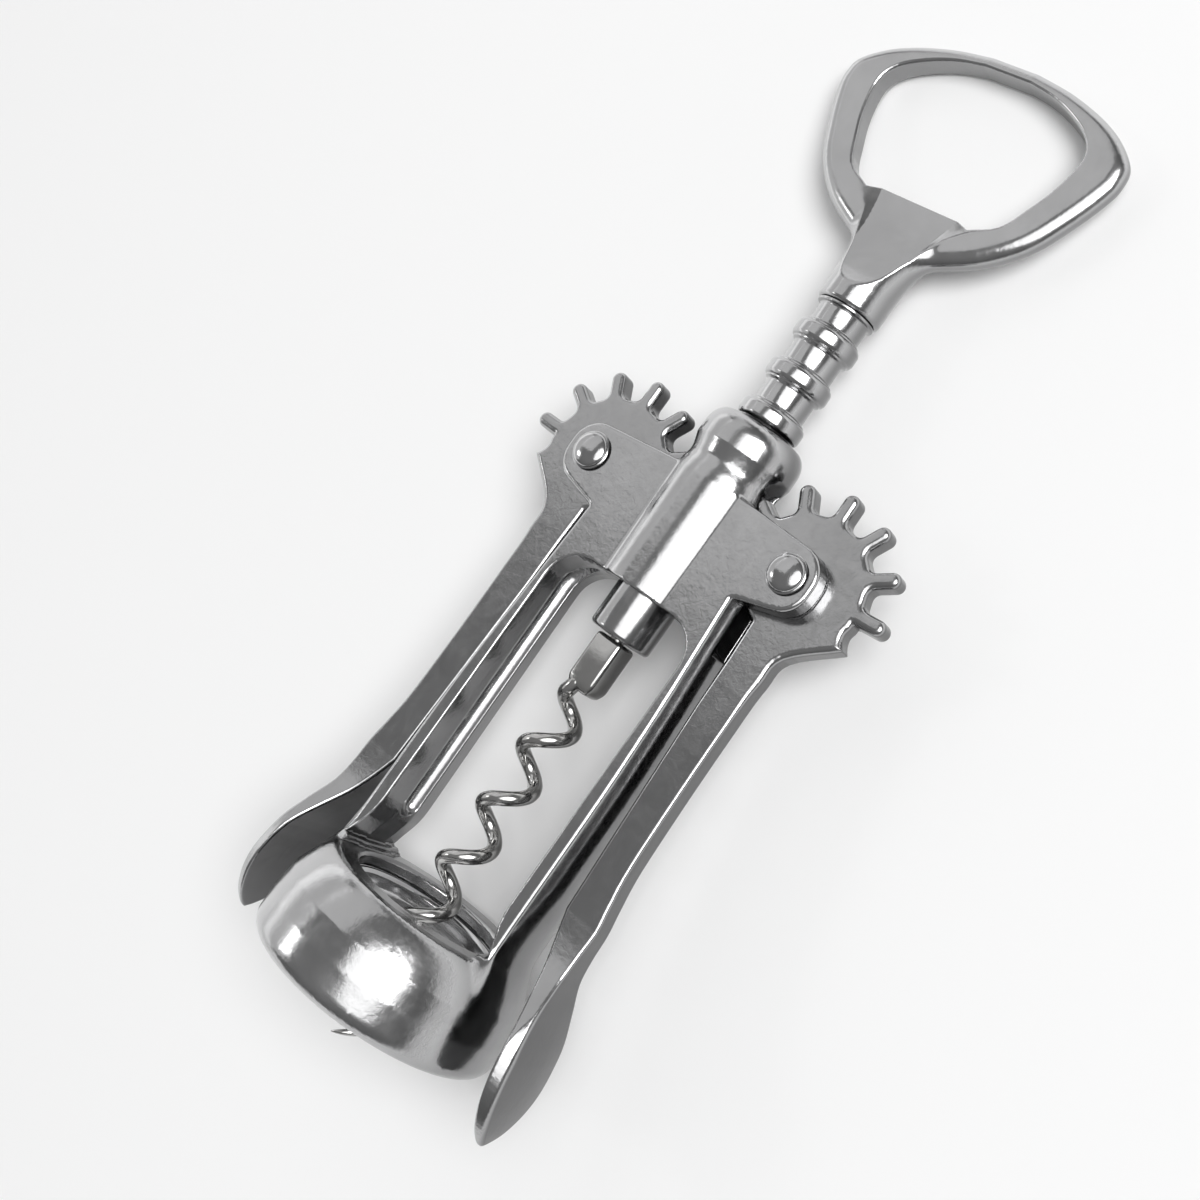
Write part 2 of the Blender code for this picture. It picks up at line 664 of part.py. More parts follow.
def make_rack_sleeve(parts, axis):
    """Sleeve with round collars that the teeth push up and down."""
    profile = [(SLEEVE_TOP, SLEEVE_BORE_RADIUS), (SLEEVE_TOP, GROOVE_RADIUS)]
    half = COLLAR_WIDTH / 2
    foot = GROOVE_RADIUS + GROOVE_DISH
    for index in reversed(range(COLLAR_COUNT)):
        middle = FIRST_GROOVE + RACK_PITCH * (index + 0.5)
        profile += [
            (middle + half + GROOVE_DISH, GROOVE_RADIUS),
            (middle + half, foot),
            (middle + half - COLLAR_BEVEL, COLLAR_RADIUS),
            (middle - half + COLLAR_BEVEL, COLLAR_RADIUS),
            (middle - half, foot),
            (middle - half - GROOVE_DISH, GROOVE_RADIUS),
        ]
    shoulder = FIRST_GROOVE - RACK_PITCH / 2 + half
    profile += [
        (shoulder + GROOVE_DISH, GROOVE_RADIUS),
        (shoulder, foot),
        (shoulder - COLLAR_BEVEL, NOSE_RADIUS),
        (-NOSE_BOTTOM + NOSE_ROUND, NOSE_RADIUS),
        (-NOSE_BOTTOM + NOSE_ROUND * NOSE_EDGE_SHARE, NOSE_RADIUS - NOSE_ROUND * NOSE_EDGE_SHARE),
        (-NOSE_BOTTOM, NOSE_RADIUS - NOSE_ROUND),
        (-NOSE_BOTTOM, SLEEVE_BORE_RADIUS),
    ]
    sleeve = turned("rack_sleeve", profile, 24, parts, axis, ring=True)
    finish(sleeve, (0.60, 0.60, 0.61), 0.22)


def make_spindle_rod(parts, axis):
    """Steel rod from the handle's neck through the rack to the worm's shank."""
    top = NECK_BOTTOM + ROD_DEPTH_IN_NECK
    profile = [
        (top, 0.0),
        (top, ROD_RADIUS),
        (-NOSE_BOTTOM, ROD_RADIUS),
        (-NOSE_BOTTOM, SPIGOT_RADIUS),
        (-NOSE_BOTTOM - SPIGOT_LENGTH, SPIGOT_RADIUS),
        (-NOSE_BOTTOM - SPIGOT_LENGTH, 0.0),
    ]
    rod = turned("spindle_rod", profile, 20, parts, axis)
    finish(rod, (0.50, 0.50, 0.51), 0.3)


def worm_points():
    """Centre line of the wire as (x, y, z, share of its radius), from the shank to the tip."""
    count = round(WORM_TURNS * WORM_POINTS_PER_TURN)
    tip_turns = WORM_TURNS * TIP_TURNS_SHARE
    helix_top = -SHANK_BOTTOM + WIRE_RADIUS - WORM_ROOT_LENGTH
    root_radius = WORM_RADIUS * WORM_ROOT_SHARE
    across = (math.cos(WORM_START_ANGLE), math.sin(WORM_START_ANGLE))
    points = [
        (helix_top + WORM_ROOT_LENGTH, root_radius * across[0], root_radius * across[1], 1.0),
        (helix_top + WORM_ROOT_LENGTH / 2, WORM_RADIUS * across[0] * WORM_KNEE_SHARE,
         WORM_RADIUS * across[1] * WORM_KNEE_SHARE, 1.0),
    ]
    for step in range(count + 1):
        turns = step / WORM_POINTS_PER_TURN
        angle = WORM_START_ANGLE - 2 * math.pi * turns
        left = (WORM_TURNS - turns) / tip_turns
        share = min(1.0, TIP_RADIUS_SHARE + (1 - TIP_RADIUS_SHARE) * left)
        points.append((
            helix_top - WORM_PITCH * turns,
            WORM_RADIUS * math.cos(angle),
            WORM_RADIUS * math.sin(angle),
            share,
        ))
    return points


def make_worm(parts, cutters, pose):
    """Square shank and the open helix that grows out of it."""
    bpy.ops.mesh.primitive_cube_add(size=1.0)
    worm = bpy.context.object
    worm.name = "worm"
    for owner in list(worm.users_collection):
        owner.objects.unlink(worm)
    parts.objects.link(worm)
    for vertex in worm.data.vertices:
        vertex.co.x = vertex.co.x * SHANK_LENGTH - SHANK_TOP - SHANK_LENGTH / 2
        vertex.co.y *= SHANK_WIDTH
        vertex.co.z *= SHANK_WIDTH
    worm.parent = pose
    bevel = worm.modifiers.new("edges", "BEVEL")
    bevel.width = SHANK_BEVEL
    bevel.segments = 1

    combine(worm, swept("wire_form", worm_points(), WIRE_RADIUS, 2, cutters, pose), "UNION")

    socket_depth = SPIGOT_LENGTH + GAP
    socket = cylinder("socket_cutter", SPIGOT_RADIUS + GAP, socket_depth + OVERRUN, 16, cutters, pose)
    socket.rotation_euler = (0.0, math.pi / 2, 0.0)
    socket.location = (-NOSE_BOTTOM - (socket_depth - OVERRUN) / 2, 0.0, 0.0)
    combine(worm, socket, "DIFFERENCE")
    finish(worm, (0.66, 0.66, 0.67), 0.16)


def lever_outline():
    """Teeth, bar and blade of the left lever, round its pivot."""
    corners = []
    half = TOOTH_WIDTH / 2
    root = math.sqrt(TOOTH_ROOT_RADIUS ** 2 - half ** 2)
    for index in reversed(range(TOOTH_COUNT)):
        angle = FIRST_TOOTH_ANGLE - index * TOOTH_STEP
        along = (math.cos(angle), math.sin(angle))
        tooth = (
            (root, -half, TOOTH_VALLEY_ROUND), (TOOTH_TIP_RADIUS, -half, half),
            (TOOTH_TIP_RADIUS, half, half), (root, half, TOOTH_VALLEY_ROUND))
        for out, across, radius in tooth:
            corners.append((
                along[0] * out - along[1] * across, along[1] * out + along[0] * across, radius))
    outline = rounded(corners)
    spur = (SPUR_RADIUS * math.cos(SPUR_ANGLE), SPUR_RADIUS * math.sin(SPUR_ANGLE))
    bar = [(-BAR_LENGTH * along, BLADE_OUT * out) for along, out in reversed(BAR_EDGE_SHARES)]
    blade_outer = [
        (-BAR_LENGTH - BLADE_LENGTH * along, BLADE_OUT * outer)
        for along, _inner, outer, _height in BLADE_SHARES
    ]
    blade_inner = [
        (-BAR_LENGTH - BLADE_LENGTH * along, BLADE_OUT * inner)
        for along, inner, _outer, _height in BLADE_SHARES
    ]
    outline += smooth([spur, *bar], 3)
    outline += smooth(blade_outer, 2)
    outline += reversed(smooth(blade_inner, 2))
    heel = (TOOTH_ROOT_RADIUS * math.cos(HEEL_ANGLE), TOOTH_ROOT_RADIUS * math.sin(HEEL_ANGLE))
    outline.append((-BAR_TOP_DEPTH, -BAR_INNER_TOP))
    outline.append(heel)
    return outline


def lever_side_outline():
    """Outline of a lever seen from its edge, thin bar and tall blade."""
    thin = LEVER_THICKNESS / 2
    heights = [
        (-BAR_LENGTH - BLADE_LENGTH * along, max(BLADE_HALF_HEIGHT * height, 0.0))
        for along, _inner, _outer, height in BLADE_SHARES
    ]
    heights[0] = (heights[0][0], thin)
    upper = [(TOOTH_TIP_RADIUS + OVERRUN, thin), *smooth(heights, 2)]
    return mirrored(upper)


def make_lever(name, side, parts, cutters, pose):
    """Toothed lever with a spoon-shaped blade; side is 1 on the left and -1 on the right."""
    outline = [(x, side * y) for x, y in lever_outline()]
    place = (0.0, side * PIVOT_OFFSET, 0.0)
    lever = prism(name, [outline], BLADE_HALF_HEIGHT + OVERRUN, parts, pose, location=place)
    shape = prism(
        name + "_side_form", [lever_side_outline()], LEVER_REACH, cutters, pose,
        rotation=(math.pi / 2, 0.0, 0.0), location=place)
    combine(lever, shape, "INTERSECT")
    hole = cylinder(name + "_hole", PIVOT_HOLE_RADIUS, LEVER_THICKNESS + OVERRUN, 20, cutters, pose, place)
    combine(lever, hole, "DIFFERENCE")
    finish(lever, (0.58, 0.58, 0.59), 0.24)


def loop_outline():
    """Outer edge of the handle's loop."""
    half = smooth(
        [(HANDLE_SHOULDER + LOOP_LENGTH * along, LOOP_HALF_WIDTH * out) for along, out in LOOP_SHARES], 2)
    return mirrored(half)


def hole_outline():
    """Edge of the hole, with the straight lip that hooks under a cap and a notch at each end."""
    lip = HOLE_HALF_WIDTH * LIP_SHARE
    half = smooth(
        [(LIP_PLACE + HOLE_LENGTH * along, HOLE_HALF_WIDTH * out) for along, out in HOLE_SHARES], 2)
    return mirrored([(LIP_PLACE, lip), *half])


def make_handle(parts, cutters, pose, axis):
    """Loop, tongue and neck in one casting."""
    handle = prism(
        "handle_opener", [loop_outline(), hole_outline()], LOOP_HALF_THICKNESS, parts, pose,
        LOOP_EDGE_ROUND)
    neck_profile = [
        (LIP_PLACE - OVERRUN, 0.0),
        (LIP_PLACE - OVERRUN, COLLAR_RADIUS),
        (NECK_BOTTOM + NECK_BEVEL, COLLAR_RADIUS),
        (NECK_BOTTOM, COLLAR_RADIUS - NECK_BEVEL),
        (NECK_BOTTOM, 0.0),
    ]
    combine(handle, turned("neck_form", neck_profile, 24, cutters, axis), "UNION")
    tongue_start = NECK_BOTTOM + TONGUE_TOP
    tongue_length = LIP_PLACE - tongue_start
    top = COLLAR_RADIUS + OVERRUN
    flat = [
        (tongue_start + tongue_length * along, TONGUE_EDGE + (COLLAR_RADIUS - TONGUE_EDGE) * drop)
        for along, drop in TONGUE_SHARES
    ]
    for name, side in (("front_tongue_cutter", 1), ("back_tongue_cutter", -1)):
        outline = [(x, side * height) for x, height in flat]
        outline += [
            (LIP_PLACE + OVERRUN, side * TONGUE_EDGE),
            (LIP_PLACE + OVERRUN, side * top),
            (tongue_start, side * top),
        ]
        cutter = prism(
            name, [outline], TONGUE_HALF_WIDTH, cutters, pose, rotation=(math.pi / 2, 0.0, 0.0))
        combine(handle, cutter, "DIFFERENCE")
    bottom = NECK_BOTTOM + ROD_DEPTH_IN_NECK + GAP
    hole_radius = across_flats(ROD_RADIUS + GAP, 20)
    hole_profile = [
        (bottom, 0.0),
        (bottom, hole_radius),
        (NECK_BOTTOM - OVERRUN, hole_radius),
        (NECK_BOTTOM - OVERRUN, 0.0),
    ]
    combine(handle, turned("neck_hole_cutter", hole_profile, 20, cutters, axis), "DIFFERENCE")
    finish(handle, (0.58, 0.58, 0.59), 0.26)


def build():
    """Make every piece and lay the whole tool down."""
    for old in list(bpy.data.objects):
        bpy.data.objects.remove(old)
    parts = bpy.data.collections.new("wing_corkscrew")
    cutters = bpy.data.collections.new("cutters")
    bpy.context.scene.collection.children.link(parts)
    bpy.context.scene.collection.children.link(cutters)

    pose = bpy.data.objects.new("resting_pose", None)
    parts.objects.link(pose)
    axis = bpy.data.objects.new("spindle_axis", None)
    parts.objects.link(axis)
    axis.parent = pose
    axis.rotation_euler = (0.0, math.pi / 2, 0.0)

    make_frame_casting(parts, cutters, pose, axis)
    make_throat_ring(parts, axis)
    make_rivet("left_pivot_rivet", PIVOT_OFFSET, parts, pose)
    make_rivet("right_pivot_rivet", -PIVOT_OFFSET, parts, pose)
    make_rack_sleeve(parts, axis)
    make_spindle_rod(parts, axis)
    make_worm(parts, cutters, pose)
    make_lever("left_lever", 1, parts, cutters, pose)
    make_lever("right_lever", -1, parts, cutters, pose)
    make_handle(parts, cutters, pose, axis)

    sine = math.sin(REST_ANGLE)
    cosine = math.cos(REST_ANGLE)
    pose.rotation_euler = (0.0, REST_ANGLE, 0.0)
    pose.location = (
        REST_LAND_PLACE * cosine + REST_LAND_RADIUS * sine,
        0.0,
        -REST_LAND_PLACE * sine + REST_LAND_RADIUS * cosine,
    )


build()
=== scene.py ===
"""Wing corkscrew: the finished look of every piece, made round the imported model."""

import math

import bmesh
import bpy
import numpy as np
from mathutils import Matrix, Vector


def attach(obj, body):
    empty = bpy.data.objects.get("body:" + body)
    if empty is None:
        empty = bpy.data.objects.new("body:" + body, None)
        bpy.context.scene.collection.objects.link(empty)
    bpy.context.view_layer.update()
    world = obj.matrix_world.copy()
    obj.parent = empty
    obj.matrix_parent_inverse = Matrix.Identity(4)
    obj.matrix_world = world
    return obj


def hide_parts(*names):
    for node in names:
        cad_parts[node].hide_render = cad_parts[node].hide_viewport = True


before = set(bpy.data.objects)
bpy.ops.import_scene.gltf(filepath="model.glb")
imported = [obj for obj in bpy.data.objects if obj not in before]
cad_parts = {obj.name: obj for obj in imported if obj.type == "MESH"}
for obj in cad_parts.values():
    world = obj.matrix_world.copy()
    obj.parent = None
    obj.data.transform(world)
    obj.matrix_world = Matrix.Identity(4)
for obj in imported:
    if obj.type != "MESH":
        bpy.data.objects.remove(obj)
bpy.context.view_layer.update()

bl_info = {
    "name": "Wing corkscrew",
    "version": (1, 0, 0),
    "blender": (4, 5, 0),
    "location": "3D View > Sidebar > Corkscrew",
    "description": "Makes the cast, turned and formed pieces of a wing corkscrew, and its table",
    "category": "Object",
}

# Lengths in this file are millimetres in the tool's own frame: X along the spindle from the
# pivots towards the handle, Y to the left lever, Z square to the flat sides.
MM = 0.001
TILT_COSINE, TILT_SINE = 0.99318206, 0.1165736
LYING = Matrix((
    (TILT_COSINE, 0.0, TILT_SINE, 0.0788447),
    (0.0, 1.0, 0.0, 0.0),
    (-TILT_SINE, 0.0, TILT_COSINE, 0.0114871),
    (0.0, 0.0, 0.0, 1.0),
))
SEAT = LYING @ Matrix.Scale(MM, 4)
SPINDLE_WAY = LYING.to_3x3() @ Vector((1.0, 0.0, 0.0))
FACE_WAY = LYING.to_3x3() @ Vector((0.0, 0.0, 1.0))

PLAY = 0.3
PIVOT_OUT, PIVOT_HOLE = 19.43, 2.3
LEVER_HALF_THICKNESS, LEVER_SLOT_RADIUS = 2.0, 15.6
BORE_RADIUS = 5.57
CAP_TOP, CAP_RADIUS, CAP_ROUND, CAP_FOOT = 16.5, 8.2, 3.3, 11.2
MOUTH_START, MOUTH_LENGTH, MOUTH_SLOPE = 14.0, 4.0, 0.4
TUBE_RADIUS, TUBE_FOOT_RADIUS, TUBE_FOOT, TUBE_FOOT_ROUND = 8.05, 7.85, -13.7, 0.45
FLANGE_HALF_THICKNESS, EAR_EDGE, EAR_ROUND, EAR_FOOT = 5.75, 14.18, 4.5, -22.0
ARM_TOP, ARM_LENGTH, ARM_SPREAD = -7.0, 47.0, 0.65
BELL_TOP, BELL_RIM, BELL_LENGTH, LAND_HALF = -69.0, -85.6, 16.6, 2.0
BELL_NECK, BELL_WAIST, BELL_FOOT, BELL_FOOT_ROUND = 16.75, 20.6, 20.92, 2.6
THROAT_RADIUS, THROAT_LIP, BELL_BORE, BELL_MOUTH = 13.3, 12.8, 16.6, 17.8
RING_TOP, RING_THICKNESS, RING_RADIUS, RING_BORE = -71.0, 2.4, 14.4, 11.9
RING_SEAT_FOOT, RING_SEAT_RADIUS = -73.7, 14.7
WINDOW_HALF_WIDTH, WINDOW_CORNER, WINDOW_FOOT = 13.7, 5.5, 15.7
WINDOW_DRAFT, WINDOW_FLAT, GROOVE_RADIUS = 0.75, 2.15, 2.05
COLLAR_RADIUS, COLLAR_WIDTH, COLLAR_COUNT, RACK_PITCH = 5.27, 2.7, 5, 7.05
NOSE_END, NOSE_RADIUS, NECK_END = -21.1, 5.1, 38.0
ROD_TOP, ROD_RADIUS, ROD_BORE, SPIGOT_LENGTH, SPIGOT_RADIUS = 45.0, 2.2, 2.5, 4.5, 1.2
LIP_PLACE, LIP_SHARE, HOLE_LENGTH, HOLE_HALF_WIDTH = 57.2, 0.386, 23.0, 18.0
HANDLE_SHOULDER, LOOP_LENGTH, LOOP_HALF_WIDTH = 47.2, 35.3, 24.8
NECK_ROOT, TONGUE_END, ABOVE_ALL = 56.0, 66.0, 9.0
TOOTH_TIP, TOOTH_ROOT, TOOTH_WIDTH, TOOTH_VALLEY, TOOTH_COUNT = 15.0, 10.7, 2.45, 1.2, 7
MESH_RADIUS = TOOTH_TIP * 0.92
FIRST_TOOTH, TOOTH_STEP = math.radians(86.8), RACK_PITCH / MESH_RADIUS
BAR_LENGTH, BLADE_LENGTH, BLADE_OUT, BLADE_HALF_HEIGHT = 56.0, 33.8, 9.46, 7.4
WIRE_RADIUS, WORM_RADIUS, WORM_PITCH, WORM_TURNS, WORM_START = 1.08, 2.7, 10.45, 5.85, 31.0
SHANK_TOP, SHANK_LENGTH, SHANK_WIDTH, SHANK_TAPER, SHANK_EDGE = -21.4, 8.1, 5.0, 1.2, 0.65

# Painted shade of the walls where a piece gets no other painted shade, and the length of the change
# between them.
WALL_SHADE, WALL_CHANGE = 0.48, 7.0

# Stations of the blade: (along, inner edge, outer edge, half height) as shares of its size.
BLADE_SHARES = (
    (0.0, -0.036, 0.630, 0.27),
    (0.118, 0.101, 0.635, 0.32),
    (0.237, 0.260, 0.660, 0.42),
    (0.370, 0.440, 0.746, 0.68),
    (0.518, 0.630, 0.873, 0.93),
    (0.680, 0.736, 0.968, 1.0),
    (0.799, 0.778, 1.0, 0.89),
    (0.905, 0.800, 0.990, 0.62),
    (0.970, 0.815, 0.955, 0.32),
    (1.0, 0.825, 0.926, 0.08),
)
# Outer edge of the bar, from the blade back to the spur: (share of its length, share of the reach).
BAR_EDGE_SHARES = (
    (0.93, 0.565), (0.82, 0.485), (0.58, 0.44), (0.35, 0.43), (0.26, 0.46), (0.18, 0.535),
)
# From the last tooth to the tip of the spur, round the pivot: (radius, degrees).
SPUR_PLACES = ((10.75, 97.0), (10.7, 102.5), (11.3, 107.8), (12.44, 111.7))
# Outline of the loop where it leaves the neck, and the rest of it as shares of its size.
LOOP_ROOT = ((43.0, 2.2), (46.2, 4.1), (48.6, 6.3))
LOOP_SHARES = (
    (0.15, 0.548), (0.286, 0.758), (0.448, 0.887), (0.618, 0.984), (0.703, 1.0), (0.776, 0.972),
    (0.855, 0.843), (0.909, 0.694), (0.949, 0.524), (0.975, 0.363), (0.994, 0.16),
)
# The tongue's hollow: (along, height of its floor), and (along, half width, rise of its walls).
TONGUE_FLOOR = (
    (39.2, 6.2), (41.0, 5.25), (42.6, 4.4), (44.6, 3.6), (48.0, 2.65), (52.0, 1.7), (57.2, 0.9),
    (62.0, 0.8),
)
TONGUE_WALLS = (
    (41.0, 5.4, 0.9), (46.0, 5.2, 0.85), (48.8, 5.15, 0.72), (51.5, 5.5, 0.5), (54.2, 6.1, 0.34),
    (57.5, 6.95, 0.22), (60.0, 7.5, 0.16),
)
# The wire's root inside the shank: (up, radius from the axis, degrees, half thickness).
WORM_ROOT = ((4.2, 0.9, 60.0, 1.3), (2.6, 1.2, 60.0, 1.25), (1.3, 1.6, 52.0, 1.2))
HOLE_SHARES = (
    (-0.036, 0.511), (0.063, 0.739), (0.256, 0.867), (0.435, 0.956), (0.655, 1.0),
    (0.785, 0.917), (0.883, 0.717), (0.955, 0.472), (0.991, 0.222),
)

TABLE_RADIUS, LAMP_DISTANCE = 3.0, 2.4
# Lamps: name, shape, lean from the tool's face in degrees, slide along it, width, depth and
# brightness. Slide, width and depth are shares of the distance.
LAMPS = (
    ("key_wide", "ELLIPSE", 25.0, 0.08, 0.95, 0.98, 1.5),
    ("key_core", "ELLIPSE", 33.0, 0.2, 0.58, 0.6, 7.2),
    ("top_card", "RECTANGLE", -34.0, 0.57, 1.08, 0.61, 0.46),
    ("side_fill", "RECTANGLE", -68.0, 0.0, 1.4, 0.7, 0.45),
    ("round_lamp", "ELLIPSE", -51.0, -0.27, 0.17, 0.17, 4.0),
)
LIT_PLACE, CAMERA_PLACE = (-5.0, 0.0, 0.0), (-17.7, -116.1, 201.2)
CAMERA_LOOK, CAMERA_RIGHT = (-0.0005, 0.5205, -0.8538), (0.574, -0.699, -0.4265)
CAMERA_LENS, SENSOR_WIDTH = 46.95, 36.0


class CorkscrewSizes(bpy.types.PropertyGroup):
    """Edge rounds, fillets and fineness of the pieces."""
    casting_step: bpy.props.FloatProperty(
        name="Casting mesh step", description="Edge length of the casting's mesh",
        default=0.6 * MM, min=0.3 * MM, precision=5, unit="LENGTH")
    lever_step: bpy.props.FloatProperty(
        name="Lever mesh step", description="Edge length of the levers' and handle's mesh",
        default=0.42 * MM, min=0.25 * MM, precision=5, unit="LENGTH")
    flange_edge: bpy.props.FloatProperty(
        name="Ear edge round", description="Radius along the edges of the flat ears",
        default=0.65 * MM, precision=5, unit="LENGTH")
    arm_edge: bpy.props.FloatProperty(
        name="Arm edge round", description="Radius along the outer edges of the arms",
        default=0.45 * MM, precision=5, unit="LENGTH")
    window_edge: bpy.props.FloatProperty(
        name="Window edge round", description="Radius along the edges of the window",
        default=0.3 * MM, precision=5, unit="LENGTH")
    tube_fillet: bpy.props.FloatProperty(
        name="Tube fillet", description="Fillet between the guide tube and the ears",
        default=0.45 * MM, precision=5, unit="LENGTH")
    foot_fillet: bpy.props.FloatProperty(
        name="Arm foot fillet", description="Fillet where the arms run into the bell",
        default=2.6 * MM, precision=5, unit="LENGTH")
    lever_edge: bpy.props.FloatProperty(
        name="Lever edge round", description="Radius along the edges of the levers",
        default=0.95 * MM, precision=5, unit="LENGTH")
    loop_edge: bpy.props.FloatProperty(
        name="Loop edge round", description="Radius round the outside of the handle's loop",
        default=1.9 * MM, precision=5, unit="LENGTH")
    neck_fillet: bpy.props.FloatProperty(
        name="Neck fillet", description="Fillet between the handle's neck and its loop",
        default=2.6 * MM, precision=5, unit="LENGTH")


class CorkscrewFinish(bpy.types.PropertyGroup):
    """Colours and polish of the metals, and the table's colour."""
    chrome_colour: bpy.props.FloatVectorProperty(
        name="Chrome", description="Colour of the plated castings", subtype="COLOR",
        default=(0.60, 0.60, 0.605), min=0.0, max=1.0)
    steel_colour: bpy.props.FloatVectorProperty(
        name="Steel", description="Colour of the worm and the rod", subtype="COLOR",
        default=(0.66, 0.655, 0.645), min=0.0, max=1.0)
    chrome_roughness: bpy.props.FloatProperty(
        name="Chrome roughness", description="Mean roughness of the plated castings",
        default=0.18, min=0.02, max=1.0, subtype="FACTOR")
    steel_roughness: bpy.props.FloatProperty(
        name="Steel roughness", description="Mean roughness of the worm",
        default=0.15, min=0.02, max=1.0, subtype="FACTOR")
    ripple: bpy.props.FloatProperty(
        name="Cast ripple", description="Depth of the fine ripple left by casting and plating",
        default=0.021 * MM, precision=6, unit="LENGTH")
    table_colour: bpy.props.FloatVectorProperty(
        name="Table", description="Colour of the plain table", subtype="COLOR",
        default=(0.93, 0.93, 0.93), min=0.0, max=1.0)


def sizes():
    """The sizes of this scene."""
    return bpy.context.scene.corkscrew_sizes


def finishes():
    """The finishes of this scene."""
    return bpy.context.scene.corkscrew_finish


def rounded(corners, step=9.0):
    """Closed outline through (x, y, radius) corners, each turned with an arc of its radius."""
    points = []
    for index, (x, y, radius) in enumerate(corners):
        before = corners[index - 1]
        after = corners[(index + 1) % len(corners)]
        into = (x - before[0], y - before[1])
        out = (after[0] - x, after[1] - y)
        length_in, length_out = math.hypot(*into), math.hypot(*out)
        turn = math.atan2(into[0] * out[1] - into[1] * out[0],
                          into[0] * out[0] + into[1] * out[1])
        if radius <= 0 or abs(turn) < 0.05:
            points.append((x, y))
            continue
        reach = min(radius * math.tan(abs(turn) / 2), length_in * 0.49, length_out * 0.49)
        radius = reach / math.tan(abs(turn) / 2)
        side = math.copysign(1.0, turn)
        start = (x - into[0] / length_in * reach, y - into[1] / length_in * reach)
        centre = (start[0] - side * into[1] / length_in * radius,
                  start[1] + side * into[0] / length_in * radius)
        first = math.atan2(start[1] - centre[1], start[0] - centre[0])
        count = max(2, math.ceil(math.degrees(abs(turn)) / step))
        for arc in range(count + 1):
            angle = first + turn * arc / count
            points.append((centre[0] + radius * math.cos(angle),
                           centre[1] + radius * math.sin(angle)))
    return points


def smooth(points, steps):
    """Open curve through all the points."""
    first = tuple(2 * a - b for a, b in zip(points[0], points[1]))
    last = tuple(2 * a - b for a, b in zip(points[-1], points[-2]))
    padded = [first, *points, last]
    curve = []
    for p0, p1, p2, p3 in zip(padded, padded[1:], padded[2:], padded[3:]):
        for step in range(steps):
            t = step / steps
            curve.append(tuple(
                b + 0.5 * t * (c - a + t * (2 * a - 5 * b + 4 * c - d + t * (3 * (b - c) + d - a)))
                for a, b, c, d in zip(p0, p1, p2, p3)))
    curve.append(tuple(points[-1]))
    return curve


def mirrored(half):
    """Closed outline from the half of it on one side of the X axis."""
    return [*half, *((x, -y) for x, y in reversed(half))]


def around_axis(radius, degrees):
    """Point at a radius and an angle from the X axis."""
    return radius * math.cos(math.radians(degrees)), radius * math.sin(math.radians(degrees))


def quarter_turn(steps):
    """Angles from nothing to a right angle."""
    return [math.pi / 2 * step / steps for step in range(steps + 1)]


def outline_depth(u, v, outline):
    """Signed distance from a closed outline in a plane, negative inside it."""
    nearest = np.full(u.shape, np.inf)
    inside = np.zeros(u.shape, bool)
    for (u0, v0), (u1, v1) in zip(outline, [*outline[1:], outline[0]]):
        du, dv = u1 - u0, v1 - v0
        span = du * du + dv * dv
        if span < 1e-12:
            continue
        a, b = u - u0, v - v0
        along = np.clip((a * du + b * dv) / span, 0.0, 1.0)
        nearest = np.minimum(nearest, (a - along * du) ** 2 + (b - along * dv) ** 2)
        if dv != 0.0:
            inside ^= ((v0 <= v) != (v1 <= v)) & (a < b * (du / dv))
    return np.where(inside, -1.0, 1.0) * np.sqrt(nearest)


def chain_depth(points, x, y, z):
    """Signed distance from a round bar through (x, y, z, radius) points."""
    nearest = np.full(x.shape, np.inf)
    for (x0, y0, z0, r0), (x1, y1, z1, r1) in zip(points, points[1:]):
        d = (x1 - x0, y1 - y0, z1 - z0)
        span = d[0] ** 2 + d[1] ** 2 + d[2] ** 2
        along = np.clip(((x - x0) * d[0] + (y - y0) * d[1] + (z - z0) * d[2]) / span, 0.0, 1.0)
        gap = np.sqrt((x - x0 - along * d[0]) ** 2 + (y - y0 - along * d[1]) ** 2
                      + (z - z0 - along * d[2]) ** 2)
        nearest = np.minimum(nearest, gap - (r0 + (r1 - r0) * along))
    return nearest


def common(a, b, radius):
    """Where both shapes are, with the edge between them rounded."""
    return np.minimum(np.maximum(a, b), -radius) + np.hypot(
        np.maximum(a + radius, 0.0), np.maximum(b + radius, 0.0))


def joined(a, b, radius):
    """Both shapes, with a fillet between them."""
    return -common(-a, -b, radius)


def cut(a, b, radius):
    """The first shape without the second, with the edge between them rounded."""
    return common(a, -b, radius)


def node_copy(node):
    """The node's mesh in the tool's own frame and in millimetres, with its corners merged."""
    edit = bmesh.new()
    edit.from_mesh(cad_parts[node].data)
    bmesh.ops.remove_doubles(edit, verts=edit.verts, dist=1e-6)
    bmesh.ops.transform(edit, matrix=SEAT.inverted(), verts=edit.verts)
    bmesh.ops.recalc_face_normals(edit, faces=edit.faces)
    mesh = bpy.data.meshes.new(node + "_start")
    edit.to_mesh(mesh)
    edit.free()
    return mesh


def slope_of(depth, points, reach=0.02):
    """Depth at the points and its slope there."""
    total = np.zeros(len(points))
    slope = np.zeros_like(points)
    for corner in ((1, 1, 1), (1, -1, -1), (-1, 1, -1), (-1, -1, 1)):
        corner = np.array(corner, float)
        value = depth(*(points + corner * reach).T)
        total += value
        slope += value[:, None] * corner
    return total / 4, slope / (4 * reach)


def settle(edit, depth, rounds, limit=0.8):
    """Move every point onto the surface where the depth is zero."""
    points = np.array([vertex.co for vertex in edit.verts])
    for _ in range(rounds):
        value, slope = slope_of(depth, points)
        size = np.maximum((slope ** 2).sum(axis=1), 0.05)
        step = np.clip(value / size, -limit, limit)
        points -= slope * step[:, None]
    for vertex, point in zip(edit.verts, points):
        vertex.co = point


